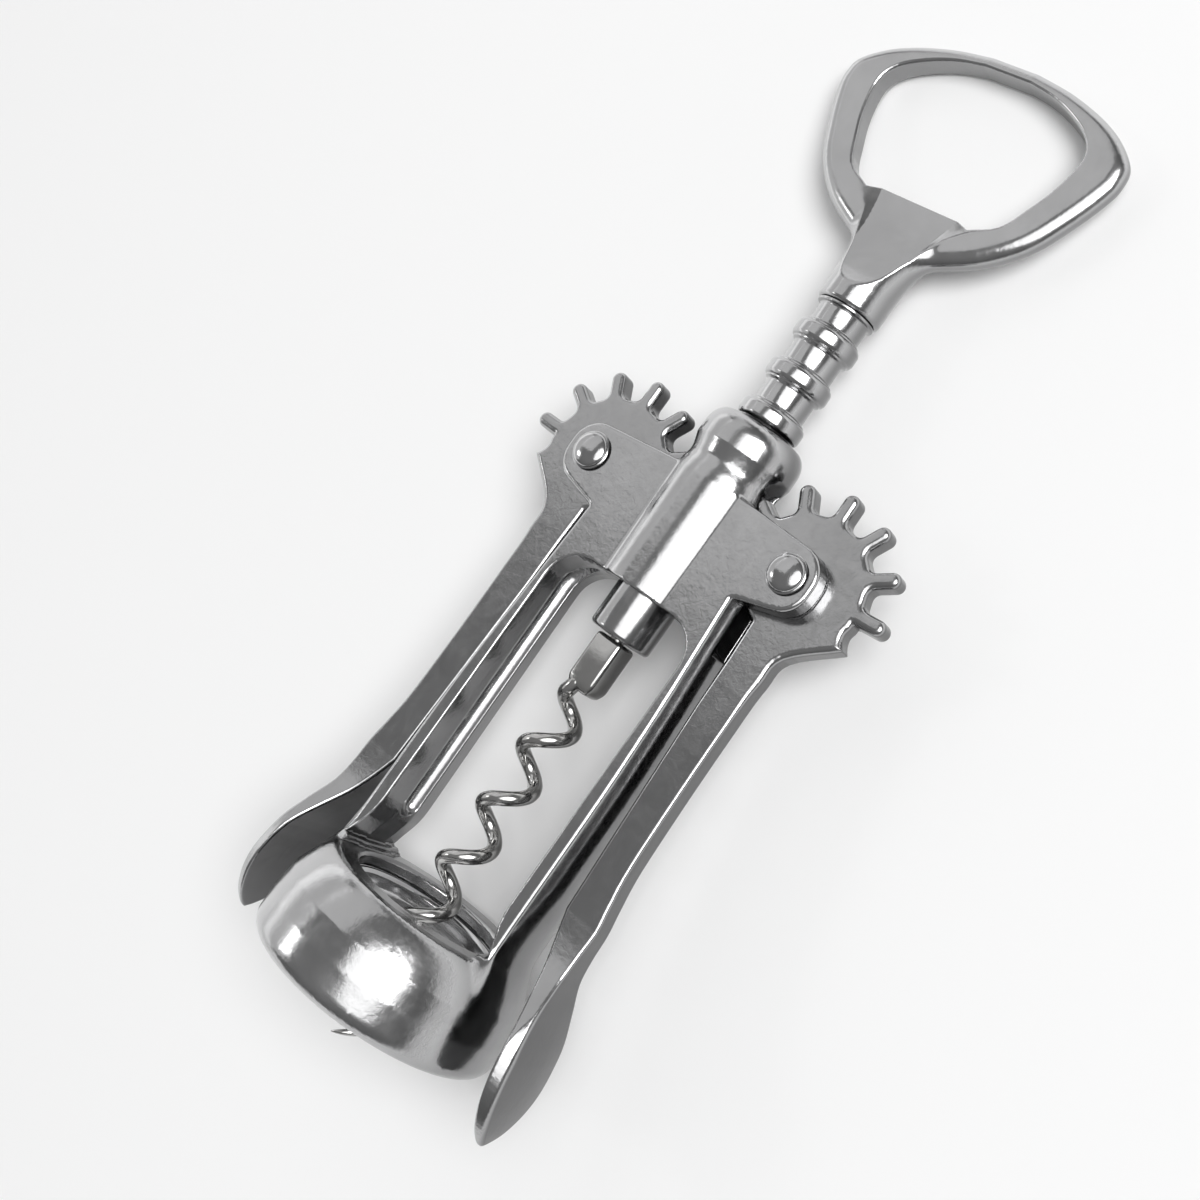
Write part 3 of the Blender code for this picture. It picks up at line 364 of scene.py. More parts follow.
def formed(node, depth, step):
    """Mesh of a cast piece: the node's mesh, remeshed and settled on the piece's true surface."""
    start = node_copy(node)
    body = bpy.data.objects.new(node + "_start", start)
    bpy.context.scene.collection.objects.link(body)
    remesh = body.modifiers.new("even", "REMESH")
    remesh.mode = "VOXEL"
    remesh.voxel_size = step * 1.0
    bpy.context.view_layer.update()
    made = body.evaluated_get(bpy.context.evaluated_depsgraph_get())
    even = bpy.data.meshes.new_from_object(made)
    bpy.data.objects.remove(body)
    bpy.data.meshes.remove(start)

    edit = bmesh.new()
    edit.from_mesh(even)
    bpy.data.meshes.remove(even)
    settle(edit, depth, 4)
    for _ in range(3):
        bmesh.ops.smooth_vert(edit, verts=edit.verts, factor=0.5, use_axis_x=True,
                              use_axis_y=True, use_axis_z=True)
        settle(edit, depth, 2, 0.3)
    # Edges that still bend are halved, so that small rounds keep their form.
    edit.normal_update()
    bent = [
        edge for edge in edit.edges
        if edge.is_manifold and edge.calc_length() > step * 0.5
        and edge.link_faces[0].normal.angle(edge.link_faces[1].normal, 0.0) > 0.2
    ]
    around = {near for edge in bent for face in edge.link_faces for near in face.edges}
    bmesh.ops.subdivide_edges(edit, edges=list(around), cuts=1, use_grid_fill=True)
    bmesh.ops.triangulate(edit, faces=[face for face in edit.faces if len(face.verts) > 4])
    settle(edit, depth, 3, 0.3)
    bmesh.ops.triangulate(edit, faces=edit.faces)
    bmesh.ops.dissolve_degenerate(edit, dist=0.01, edges=edit.edges)
    bmesh.ops.triangulate(edit, faces=edit.faces)
    bmesh.ops.recalc_face_normals(edit, faces=edit.faces)
    return edit


def finished(name, edit, material, body, nodes, depth=None, sharp=35.0):
    """Put a made shape in its place and hand it to the frame."""
    normals = None
    if depth is not None:
        points = np.array([vertex.co for vertex in edit.verts])
        slope = slope_of(depth, points)[1]
        slope /= np.maximum(np.linalg.norm(slope, axis=1), 1e-9)[:, None]
        normals = slope @ np.array(LYING.to_3x3()).T
    bmesh.ops.transform(edit, matrix=SEAT, verts=edit.verts)
    mesh = bpy.data.meshes.new(name)
    edit.to_mesh(mesh)
    edit.free()
    mesh.shade_smooth()
    if normals is None:
        mesh.set_sharp_from_angle(angle=math.radians(sharp))
    else:
        mesh.normals_split_custom_set_from_vertices([tuple(normal) for normal in normals])
    mesh.materials.append(material)
    piece = bpy.data.objects.new(name, mesh)
    bpy.context.scene.collection.objects.link(piece)
    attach(piece, body)
    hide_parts(*nodes)
    return piece


def spun(profile, steps=96):
    """Turned shape from an (along, radius) profile that ends on the axis or on itself."""
    edit = bmesh.new()
    corners = [edit.verts.new((along, radius, 0.0)) for along, radius in profile]
    closed = min(radius for _, radius in profile) > 1e-6
    pairs = list(zip(corners, [*corners[1:], corners[0]]))
    if not closed:
        pairs.pop()
    wire = [edit.edges.new(pair) for pair in pairs]
    bmesh.ops.spin(edit, geom=[*corners, *wire], cent=(0.0, 0.0, 0.0), axis=(1.0, 0.0, 0.0),
                   dvec=(0.0, 0.0, 0.0), angle=2 * math.pi, steps=steps, use_merge=True,
                   use_normal_flip=False, use_duplicate=False)
    bmesh.ops.remove_doubles(edit, verts=edit.verts, dist=1e-4)
    bmesh.ops.recalc_face_normals(edit, faces=edit.faces)
    return edit


def metal(name, colour, roughness, ripple, ripple_size, painted_wall_shade=0.35, painted_shade_start=-500.0):
    """Plated or bare metal with fine ripples, faint smears, and painted shade on the walls beside
    the flats.

    The walls' colour is scaled by a painted shade: the given share where X is above the given
    start, in millimetres, and WALL_SHADE below it.
    """
    material = bpy.data.materials.new(name)
    material.use_nodes = True
    nodes, links = material.node_tree.nodes, material.node_tree.links
    shader = nodes["Principled BSDF"]
    shader.inputs["Metallic"].default_value = 1.0
    place = nodes.new("ShaderNodeTexCoord")

    def noise(size, detail, distortion):
        made = nodes.new("ShaderNodeTexNoise")
        made.inputs["Scale"].default_value = 1.0 / (size * MM)
        made.inputs["Detail"].default_value = detail
        made.inputs["Roughness"].default_value = 0.55
        made.inputs["Distortion"].default_value = distortion
        links.new(place.outputs["Object"], made.inputs["Vector"])
        return made

    tone = noise(9.0, 3.0, 0.5)
    shades = nodes.new("ShaderNodeValToRGB")
    shades.color_ramp.elements[0].position = 0.3
    shades.color_ramp.elements[0].color = (*(part * 0.93 for part in colour), 1.0)
    shades.color_ramp.elements[1].position = 0.7
    shades.color_ramp.elements[1].color = (*(min(1.0, part * 1.04) for part in colour), 1.0)
    links.new(tone.outputs["Fac"], shades.inputs["Fac"])

    # Painted shade: the colour is darkened where the normal turns away from the flat faces,
    # standing in for dark reflections on the walls.
    facing = nodes.new("ShaderNodeNewGeometry")
    own = nodes.new("ShaderNodeVectorTransform")
    own.vector_type, own.convert_from, own.convert_to = "NORMAL", "WORLD", "OBJECT"
    links.new(facing.outputs["Normal"], own.inputs["Vector"])
    across = nodes.new("ShaderNodeVectorMath")
    across.operation = "DOT_PRODUCT"
    across.inputs[1].default_value = FACE_WAY
    links.new(own.outputs["Vector"], across.inputs[0])
    either = nodes.new("ShaderNodeMath")
    either.operation = "ABSOLUTE"
    links.new(across.outputs["Value"], either.inputs[0])
    beside = nodes.new("ShaderNodeVectorMath")
    beside.operation = "DOT_PRODUCT"
    beside.inputs[1].default_value = SPINDLE_WAY
    links.new(place.outputs["Object"], beside.inputs[0])
    start = LYING.translation.dot(SPINDLE_WAY) + painted_shade_start * MM
    walls = nodes.new("ShaderNodeMapRange")
    walls.inputs["From Min"].default_value = start
    walls.inputs["From Max"].default_value = start + WALL_CHANGE * MM
    walls.inputs["To Min"].default_value = WALL_SHADE
    walls.inputs["To Max"].default_value = painted_wall_shade
    links.new(beside.outputs["Value"], walls.inputs["Value"])
    shade_by_facing = nodes.new("ShaderNodeMapRange")
    shade_by_facing.interpolation_type = "SMOOTHSTEP"
    shade_by_facing.inputs["From Min"].default_value = 0.1
    shade_by_facing.inputs["From Max"].default_value = 0.8
    links.new(walls.outputs["Result"], shade_by_facing.inputs["To Min"])
    shade_by_facing.inputs["To Max"].default_value = 1.0
    links.new(either.outputs["Value"], shade_by_facing.inputs["Value"])
    shaded_colour = nodes.new("ShaderNodeVectorMath")
    shaded_colour.operation = "SCALE"
    links.new(shades.outputs["Color"], shaded_colour.inputs[0])
    links.new(shade_by_facing.outputs["Result"], shaded_colour.inputs["Scale"])
    links.new(shaded_colour.outputs["Vector"], shader.inputs["Base Color"])

    smear = noise(3.2, 5.0, 1.2)
    polish = nodes.new("ShaderNodeMapRange")
    polish.inputs["From Min"].default_value = 0.3
    polish.inputs["From Max"].default_value = 0.75
    polish.inputs["To Min"].default_value = roughness * 0.75
    polish.inputs["To Max"].default_value = roughness * 1.35
    links.new(smear.outputs["Fac"], polish.inputs["Value"])
    links.new(polish.outputs["Result"], shader.inputs["Roughness"])

    broad = noise(ripple_size * 3.5, 2.0, 0.4)
    wide = nodes.new("ShaderNodeBump")
    wide.inputs["Distance"].default_value = ripple * 1.6
    wide.inputs["Strength"].default_value = 0.8
    links.new(broad.outputs["Fac"], wide.inputs["Height"])
    fine = noise(ripple_size, 3.0, 0.9)
    close = nodes.new("ShaderNodeBump")
    close.inputs["Distance"].default_value = ripple
    close.inputs["Strength"].default_value = 0.8
    links.new(fine.outputs["Fac"], close.inputs["Height"])
    links.new(wide.outputs["Normal"], close.inputs["Normal"])
    links.new(close.outputs["Normal"], shader.inputs["Normal"])
    return material


def tube_outline():
    """Guide tube and its rounded cap, seen from the side."""
    rim = BORE_RADIUS + 0.3
    reach = CAP_RADIUS - rim
    cap = [
        (CAP_TOP - CAP_ROUND * (1 - math.cos(angle)), CAP_RADIUS - reach * (1 - math.sin(angle)))
        for angle in quarter_turn(14)
    ]
    waist = smooth([(CAP_FOOT, CAP_RADIUS), (CAP_FOOT - 1.3, 7.8), (CAP_FOOT - 2.6, 7.55),
                    (CAP_FOOT - 4.2, 7.85), (CAP_FOOT - 5.6, TUBE_RADIUS)], 4)
    foot = [
        (TUBE_FOOT + TUBE_FOOT_ROUND * (1 - math.sin(angle)),
         TUBE_FOOT_RADIUS - TUBE_FOOT_ROUND * (1 - math.cos(angle)))
        for angle in quarter_turn(5)
    ]
    return mirrored([*cap, *waist, *foot])


def flange_outline():
    """Both ears and the plate between them, seen from the front."""
    end = PIVOT_OUT + EAR_ROUND
    half = [
        (EAR_FOOT, 7.0, 0.0),
        (EAR_FOOT, EAR_EDGE, 0.0),
        (ARM_TOP, EAR_EDGE, 1.0),
        (-EAR_ROUND, end, EAR_ROUND),
        (EAR_ROUND, end, EAR_ROUND),
        (5.3, PIVOT_OUT - EAR_ROUND - TOOTH_WIDTH / 2, 8.0),
        (5.9, BORE_RADIUS, 0.0),
    ]
    return rounded([*((x, -y, radius) for x, y, radius in reversed(half)), *half])


def window_outline():
    """Opening between the arms in the plane of their front faces."""
    half = [
        (TUBE_FOOT, WINDOW_HALF_WIDTH, WINDOW_CORNER),
        (BELL_TOP + 6.8, WINDOW_HALF_WIDTH, 12.0),
        (BELL_TOP + 1.0, WINDOW_FOOT, 0.0),
        (BELL_TOP + 1.0, WINDOW_FOOT - 1.4, 0.3),
        (BELL_TOP, WINDOW_FOOT - 1.4, 0.0),
    ]
    return rounded([*half, *((x, -y, radius) for x, y, radius in reversed(half))])


def arm_outline():
    """Outside of the arms, seen from the side."""
    return mirrored(smooth([(ARM_TOP, 15.3), (-36.0, 16.87), (-65.0, 17.4), (-72.0, 17.7)], 8))


def bell_outline():
    """Outside of the bell, seen from the side, with the straight land that it lies on."""
    slope = TILT_SINE / TILT_COSINE
    middle = BELL_TOP - BELL_LENGTH * 0.48
    top, bottom = middle + LAND_HALF, middle - LAND_HALF
    land_top, land_bottom = BELL_WAIST - slope * LAND_HALF, BELL_WAIST + slope * LAND_HALF
    shoulder = [
        (BELL_TOP + (top - BELL_TOP) * share, BELL_NECK + (land_top - BELL_NECK) * share ** 0.6)
        for share in (0.0, 0.04, 0.08, 0.14, 0.22, 0.3, 0.42, 0.55, 0.7, 0.85)
    ]
    rim = [
        (BELL_RIM + BELL_FOOT_ROUND * (1 - math.sin(angle)),
         BELL_FOOT - BELL_FOOT_ROUND * (1 - math.cos(angle)))
        for angle in quarter_turn(12)
    ]
    return mirrored([
        (BELL_TOP + 1.0, BELL_NECK - 1.0), *shoulder, (top, land_top), (bottom, land_bottom), *rim])


def cavity_outline():
    """Throat, seat of the ring and mouth of the bell, seen from the side."""
    half = rounded([
        (BELL_TOP + 2.0, 0.0, 0.0),
        (BELL_TOP + 2.0, THROAT_RADIUS, 0.0),
        (BELL_TOP, THROAT_RADIUS, 0.0),
        (BELL_TOP - 0.5, THROAT_LIP, 0.3),
        (RING_TOP, THROAT_LIP, 0.2),
        (RING_TOP, RING_SEAT_RADIUS, 0.1),
        (RING_SEAT_FOOT, RING_SEAT_RADIUS, 0.1),
        (RING_SEAT_FOOT, 15.4, 0.2),
        (-74.9, BELL_BORE, 1.4),
        (BELL_RIM + 1.2, BELL_BORE, 1.6),
        (BELL_RIM, BELL_MOUTH, 0.0),
        (BELL_RIM - 2.0, BELL_MOUTH, 0.0),
        (BELL_RIM - 2.0, 0.0, 0.0),
    ])
    return mirrored(half)


def groove_points():
    """Groove inside an arm, as (x, y, z, radius)."""
    wall = WINDOW_HALF_WIDTH - WINDOW_DRAFT
    corner = (TUBE_FOOT - WINDOW_CORNER, wall - WINDOW_CORNER)
    points = [(BELL_TOP + 9.0, wall, 0.0, GROOVE_RADIUS)]
    for degrees, share in ((0, 1.0), (8, 1.0), (15, 1.0), (22, 0.94), (30, 0.86), (38, 0.74),
                           (45, 0.6), (52, 0.45), (58, 0.3)):
        out, along = around_axis(WINDOW_CORNER, degrees)
        points.append((corner[0] + along, corner[1] + out, 0.0, GROOVE_RADIUS * share))
    return points


def casting_depth():
    """Depth below the surface of the whole casting."""
    tube, flange, arm, bell = tube_outline(), flange_outline(), arm_outline(), bell_outline()
    window, cavity, groove = window_outline(), cavity_outline(), groove_points()
    size = sizes()
    flange_edge, arm_edge = size.flange_edge / MM, size.arm_edge / MM
    window_edge, foot = size.window_edge / MM, size.foot_fillet / MM
    tube_fillet = size.tube_fillet / MM

    def depth(x, y, z):
        side, high = np.abs(y), np.abs(z)
        around = np.hypot(y, z)
        ears = common(outline_depth(x, y, flange), high - FLANGE_HALF_THICKNESS, flange_edge)
        shape = joined(outline_depth(x, around, tube), ears, tube_fillet)
        spread = FLANGE_HALF_THICKNESS + ARM_SPREAD * np.clip(
            (EAR_FOOT - x) / ARM_LENGTH, 0.0, 1.1)
        arms = common(outline_depth(x, around, arm), high - spread, arm_edge)
        shape = np.minimum(shape, arms)
        shape = joined(shape, outline_depth(x, around, bell), foot)
        inset = WINDOW_DRAFT * np.clip(
            (FLANGE_HALF_THICKNESS - high) / (FLANGE_HALF_THICKNESS - WINDOW_FLAT), -0.28, 1.0)
        shape = cut(shape, outline_depth(x, side + inset, window), window_edge)
        shape = cut(shape, chain_depth(groove, x, side, z), 0.2)
        shape = cut(shape, outline_depth(x, around, cavity), 0.2)
        mouth = BORE_RADIUS + MOUTH_SLOPE * np.clip(x - MOUTH_START, 0.0, MOUTH_LENGTH)
        shape = cut(shape, around - mouth, 0.2)
        pivot = np.hypot(x, side - PIVOT_OUT)
        slot = common(pivot - LEVER_SLOT_RADIUS, high - LEVER_HALF_THICKNESS - PLAY, 0.1)
        shape = cut(shape, slot, 0.15)
        return cut(shape, pivot - PIVOT_HOLE, 0.1)

    return depth


def lever_outline():
    """Teeth, bar and blade of the left lever round its pivot, seen from the front."""
    corners = []
    half = TOOTH_WIDTH / 2
    root = math.sqrt(TOOTH_ROOT ** 2 - half ** 2)
    for index in reversed(range(TOOTH_COUNT)):
        angle = FIRST_TOOTH - index * TOOTH_STEP
        c, s = math.cos(angle), math.sin(angle)
        for out, across, radius in ((root, -half, TOOTH_VALLEY), (TOOTH_TIP, -half, half),
                                    (TOOTH_TIP, half, half), (root, half, TOOTH_VALLEY)):
            corners.append((c * out - s * across, s * out + c * across, radius))
    outline = rounded(corners, 15.0)
    spur = [around_axis(radius, degrees) for radius, degrees in SPUR_PLACES]
    outline += smooth(spur, 4)
    bar = [(-BAR_LENGTH * along, BLADE_OUT * out) for along, out in reversed(BAR_EDGE_SHARES)]
    outer = [(-BAR_LENGTH - BLADE_LENGTH * row[0], BLADE_OUT * row[2]) for row in BLADE_SHARES]
    inner = [(-BAR_LENGTH - BLADE_LENGTH * row[0], BLADE_OUT * row[1]) for row in BLADE_SHARES]
    outline += smooth([spur[-1], *bar, *outer], 5)
    outline += reversed(smooth(inner, 3))
    outline += [(-8.0, -2.55), around_axis(TOOTH_ROOT, -112.0)]
    return outline


def lever_side_outline():
    """Thin bar and tall blade of a lever, seen from its edge."""
    heights = [
        (-BAR_LENGTH - BLADE_LENGTH * row[0], BLADE_HALF_HEIGHT * row[3]) for row in BLADE_SHARES
    ]
    heights[0] = (heights[0][0], LEVER_HALF_THICKNESS)
    return mirrored([(TOOTH_TIP + 1.0, LEVER_HALF_THICKNESS), *smooth(heights, 5)])


def lever_depth():
    """Depth below the surface of the left lever."""
    front, side = lever_outline(), lever_side_outline()
    edge = sizes().lever_edge / MM

    def depth(x, y, z):
        out = y - PIVOT_OUT
        blade = np.clip((-BAR_LENGTH - 8.0 - x) / 12.0, 0.0, 1.0)
        dish = 0.55 * blade * np.clip(1.0 - (z / BLADE_HALF_HEIGHT) ** 2, 0.0, 1.0)
        tilt = 0.45 * blade
        lean = np.clip(out - 0.72 * BLADE_OUT, 0.0, 3.0) * tilt
        rim = outline_depth(x, np.abs(z) + lean, side) / np.sqrt(1.0 + tilt ** 2)
        round_off = edge * (0.6 + 0.4 * np.clip((x + 22.0) / 8.0, 0.0, 1.0))
        shape = common(outline_depth(x, out - dish, front), rim, round_off)
        return cut(shape, np.hypot(x, out) - PIVOT_HOLE, 0.15)

    return depth


def handle_depth():
    """Depth below the surface of the loop, the neck and the tongue with its lip."""
    loop = mirrored(smooth([*LOOP_ROOT, *(
        (HANDLE_SHOULDER + LOOP_LENGTH * along, LOOP_HALF_WIDTH * out)
        for along, out in LOOP_SHARES)], 5))
    hole = mirrored([(LIP_PLACE, HOLE_HALF_WIDTH * LIP_SHARE), *smooth([
        (LIP_PLACE + HOLE_LENGTH * along, HOLE_HALF_WIDTH * out)
        for along, out in HOLE_SHARES], 4)])
    neck = mirrored(rounded([
        (NECK_ROOT, 0.0, 0.0), (NECK_ROOT, COLLAR_RADIUS, 0.0),
        (NECK_END, COLLAR_RADIUS, 0.7), (NECK_END, 0.0, 0.0),
    ]))
    edge, fillet = sizes().loop_edge / MM, sizes().neck_fillet / MM
    floor_x, floor_z = zip(*smooth(TONGUE_FLOOR, 8))
    wall_x, wall_y, wall_rise = zip(*smooth(TONGUE_WALLS, 6))

    def depth(x, y, z):
        side, high = np.abs(y), np.abs(z)
        plate = common(0.8 * outline_depth(x, y, loop), high - LEVER_HALF_THICKNESS, edge)
        shape = joined(plate, outline_depth(x, np.hypot(y, z), neck), fillet)
        shape = cut(shape, outline_depth(x, y, hole), 0.6)
        rise = np.interp(x, wall_x, wall_rise)
        beyond = np.maximum(side - np.interp(x, wall_x, wall_y), 0.0)
        level = np.interp(x, floor_x, floor_z) + beyond * rise
        level = np.where(x > TONGUE_END, ABOVE_ALL, level)
        shape = cut(shape, (level - high) / np.sqrt(1.0 + rise ** 2), 0.18)
        return cut(shape, common(np.hypot(y, z) - ROD_BORE, x - (ROD_TOP + PLAY), 0.1), 0.15)

    return depth


class CORKSCREW_OT_casting(bpy.types.Operator):
    """Make the casting with its guide tube, ears, arms and bell"""
    bl_idname = "corkscrew.casting"
    bl_label = "Frame casting"

    def execute(self, context):
        finish = finishes()
        # The casting's walls get painted shade, less of it on the bell below X -74 mm.
        chrome = metal("cast_chrome", finish.chrome_colour, finish.chrome_roughness,
                       finish.ripple, 0.9, painted_shade_start=-74.0)
        depth = casting_depth()
        edit = formed("frame_casting", depth, sizes().casting_step / MM)
        finished("cast_frame", edit, chrome, "frame", ["frame_casting"], depth)
        return {"FINISHED"}


class CORKSCREW_OT_throat_ring(bpy.types.Operator):
    """Make the turned ring in the bell's throat"""
    bl_idname = "corkscrew.throat_ring"
    bl_label = "Throat ring"

    def execute(self, context):
        finish = finishes()
        chrome = metal("ring_chrome", finish.chrome_colour, 0.14, finish.ripple * 0.5, 0.8, 1.0)
        top = RING_TOP - PLAY
        foot, chamfer = top - RING_THICKNESS, top - 0.5
        profile = rounded([
            (top, 12.4, 0.1), (top, 12.9, 0.05), (top - 0.18, 13.0, 0.05), (top, 13.1, 0.05),
            (top, 13.9, 0.1), (chamfer, RING_RADIUS, 0.1), (foot, RING_RADIUS, 0.1),
            (foot, RING_BORE, 0.1), (chamfer, RING_BORE, 0.1),
        ], 30.0)
        finished("ring_in_throat", spun(profile, 128), chrome, "frame", ["throat_ring"])
        return {"FINISHED"}


class CORKSCREW_OT_rivets(bpy.types.Operator):
    """Make the two domed rivets that hold the levers"""
    bl_idname = "corkscrew.rivets"
    bl_label = "Pivot rivets"

    def execute(self, context):
        finish = finishes()
        chrome = metal("rivet_chrome", finish.chrome_colour, 0.13, finish.ripple * 0.8, 0.7)
        base, dome_height, dome_radius = FLANGE_HALF_THICKNESS + PLAY, 1.02, 2.85
        dome = [
            (base + 0.28 + dome_height * math.cos(angle), dome_radius * math.sin(angle))
            for angle in quarter_turn(10)
        ]
        half = [*dome, (base + 0.24, 2.98), (base + 0.12, 3.1), (base, 3.07), (base, 2.0)]
        profile = [*half, *((-x, radius) for x, radius in reversed(half))]
        for name, node, out in (("left_rivet", "left_pivot_rivet", PIVOT_OUT),
                                ("right_rivet", "right_pivot_rivet", -PIVOT_OUT)):
            edit = spun(profile, 48)
            bmesh.ops.rotate(edit, cent=(0.0, 0.0, 0.0), verts=edit.verts,
                             matrix=Matrix.Rotation(-math.pi / 2, 3, "Y"))
            bmesh.ops.translate(edit, vec=(0.0, out, 0.0), verts=edit.verts)
            finished(name, edit, chrome, "frame", [node])
        return {"FINISHED"}


class CORKSCREW_OT_rack(bpy.types.Operator):
    """Make the round rack with its collars, and the rod inside it"""
    bl_idname = "corkscrew.rack"
    bl_label = "Rack and rod"

    def execute(self, context):
        finish = finishes()
        chrome = metal("rack_chrome", finish.chrome_colour, finish.chrome_roughness * 0.9,
                       finish.ripple * 0.7, 0.8, 0.42)
        first = MESH_RADIUS * (FIRST_TOOTH - (TOOTH_COUNT - 1) * TOOTH_STEP + math.pi / 2) + 0.45
        low, dish, half = 4.13, 0.4, COLLAR_WIDTH / 2 + 0.15
        top, ring = NECK_END - 0.08, 4.8
        corners = [(top, ROD_BORE, 0.02), (top, ring, 0.15), (top - 0.45, ring, 0.15),
                   (top - 0.6, low, 0.3)]
        lip = [(half + dish, low, 0.3), (half + 0.12, 4.66, 0.12), (half - 0.12, 4.72, 0.1),
               (half - 0.3, 5.05, 0.3), (half - 0.75, COLLAR_RADIUS, 0.4)]
        for index in reversed(range(COLLAR_COUNT)):
            middle = first + RACK_PITCH * (index + 0.5)
            corners += [(middle + reach, radius, turn) for reach, radius, turn in lip]
            corners += [(middle - reach, radius, turn) for reach, radius, turn in reversed(lip)]
        shoulder = first - RACK_PITCH / 2 + half
        corners += [
            (shoulder + dish, low, 0.35), (shoulder, low + dish, 0.2),
            (shoulder - 0.6, NOSE_RADIUS, 0.3), (NOSE_END, NOSE_RADIUS, 0.75),
            (NOSE_END, ROD_BORE, 0.2),
        ]
        finished("round_rack", spun(rounded(corners, 22.0)), chrome, "rack", ["rack_sleeve"])
        steel = metal("rod_steel", finish.steel_colour, 0.22, finish.ripple * 0.4, 0.6)
        spigot = NOSE_END - SPIGOT_LENGTH
        rod = rounded([(ROD_TOP, 0.0, 0.0), (ROD_TOP, ROD_RADIUS, 0.3), (NOSE_END, ROD_RADIUS, 0.1),
                       (NOSE_END, SPIGOT_RADIUS, 0.05), (spigot, SPIGOT_RADIUS, 0.2),
                       (spigot, 0.0, 0.0)], 30.0)
        finished("steel_rod", spun(rod, 48), steel, "spindle", ["spindle_rod"])
        return {"FINISHED"}


def worm_points():
    """Middle of the wire, as (x, y, z, radius), from the shank to the tip."""
    top = SHANK_TOP - SHANK_LENGTH + WIRE_RADIUS - 2.8
    start = math.radians(WORM_START)
    points = smooth(
        [(top + up, *around_axis(out, turn), thick) for up, out, turn, thick in WORM_ROOT], 5)
    steps_a_turn = 40
    for step in range(round(WORM_TURNS * steps_a_turn) + 1):
        turns = step / steps_a_turn
        angle = start - 2 * math.pi * turns
        left = max(0.0, WORM_TURNS - turns) / (WORM_TURNS * 0.07)
        thick = 1.05 + 0.12 * max(0.0, 1.0 - turns / 0.25)
        radius = WIRE_RADIUS * thick * min(1.0, 0.1 + 0.9 * left ** 0.8)
        out = WORM_RADIUS * (1.0 - 0.33 * max(0.0, 1.0 - turns / 0.3) ** 2)
        points.append(
            (top - WORM_PITCH * turns, out * math.cos(angle), out * math.sin(angle), radius))
    return points


class CORKSCREW_OT_worm(bpy.types.Operator):
    """Make the square shank and the open helix of wire below it"""
    bl_idname = "corkscrew.worm"
    bl_label = "Worm"

    def execute(self, context):
        finish = finishes()
        steel = metal("worm_steel", finish.steel_colour, finish.steel_roughness,
                      finish.ripple * 0.6, 0.9)
        wire = bpy.data.curves.new("wire", "CURVE")
        wire.dimensions = "3D"
        wire.bevel_depth = 1.0
        wire.bevel_resolution = 6
        wire.use_fill_caps = True
        spline = wire.splines.new("POLY")
        points = worm_points()
        spline.points.add(len(points) - 1)
        for point, (x, y, z, radius) in zip(spline.points, points):
            point.co = (x, y, z, 1.0)
            point.radius = radius
        guide = bpy.data.objects.new("wire", wire)
        context.scene.collection.objects.link(guide)
        context.view_layer.update()
        swept = guide.evaluated_get(context.evaluated_depsgraph_get())
        mesh = bpy.data.meshes.new_from_object(swept)
        bpy.data.objects.remove(guide)
        edit = bmesh.new()
        edit.from_mesh(mesh)
        bpy.data.meshes.remove(mesh)
        made = bmesh.ops.create_cube(edit, size=1.0)["verts"]
        bmesh.ops.scale(edit, vec=(SHANK_LENGTH, SHANK_WIDTH, SHANK_WIDTH), verts=made)
        bmesh.ops.translate(edit, vec=(SHANK_TOP - SHANK_LENGTH / 2, 0.0, 0.0), verts=made)
        lowest = min((face for vertex in made for face in vertex.link_faces),
                     key=lambda face: face.calc_center_median().x)
        taper = bmesh.ops.extrude_discrete_faces(edit, faces=[lowest])["faces"][0]
        bmesh.ops.translate(edit, vec=(-SHANK_TAPER, 0.0, 0.0), verts=taper.verts)
        bmesh.ops.scale(edit, vec=(1.0, 0.72, 0.72), verts=taper.verts)
        sides = {edge for vertex in [*made, *taper.verts] for edge in vertex.link_edges}
        bmesh.ops.bevel(edit, geom=list(sides), offset=SHANK_EDGE, segments=4, profile=0.5,
                        affect="EDGES", material=-1, clamp_overlap=True)
        bmesh.ops.remove_doubles(edit, verts=edit.verts, dist=1e-4)
        bmesh.ops.recalc_face_normals(edit, faces=edit.faces)
        finished("wire_worm", edit, steel, "spindle", ["worm"], sharp=40.0)
        return {"FINISHED"}


class CORKSCREW_OT_levers(bpy.types.Operator):
    """Make the two toothed levers with their spoon blades"""
    bl_idname = "corkscrew.levers"
    bl_label = "Levers"

    def execute(self, context):
        finish = finishes()
        # Painted shade: the levers' chrome is a darker copy of the casting's chrome, and their
        # walls get deeper painted shade.
        chrome = metal("lever_chrome", [part * 0.87 for part in finish.chrome_colour],
                       finish.chrome_roughness, finish.ripple, 0.9, 0.3)
        left = lever_depth()
        edit = formed("left_lever", left, sizes().lever_step / MM)
        other = edit.copy()
        finished("left_wing", edit, chrome, "left_lever", ["left_lever"], left)
        bmesh.ops.scale(other, vec=(1.0, -1.0, 1.0), verts=other.verts)
        bmesh.ops.reverse_faces(other, faces=other.faces)
        finished("right_wing", other, chrome, "right_lever", ["right_lever"],
                 lambda x, y, z: left(x, -y, z))
        return {"FINISHED"}


class CORKSCREW_OT_handle(bpy.types.Operator):
    """Make the loop with its lip, tongue and neck"""
    bl_idname = "corkscrew.handle"
    bl_label = "Handle"

    def execute(self, context):
        finish = finishes()
        chrome = metal("handle_chrome", finish.chrome_colour, finish.chrome_roughness,
                       finish.ripple, 0.9, 0.5)
        depth = handle_depth()
        edit = formed("handle_opener", depth, sizes().lever_step / MM)
        finished("loop_handle", edit, chrome, "spindle", ["handle_opener"], depth)
        return {"FINISHED"}


def placed(right, up, back, place):
    """Matrix of a lamp or camera from its three directions and its place."""
    matrix = Matrix((right, up, back)).transposed().to_4x4()
    matrix.translation = place
    return matrix


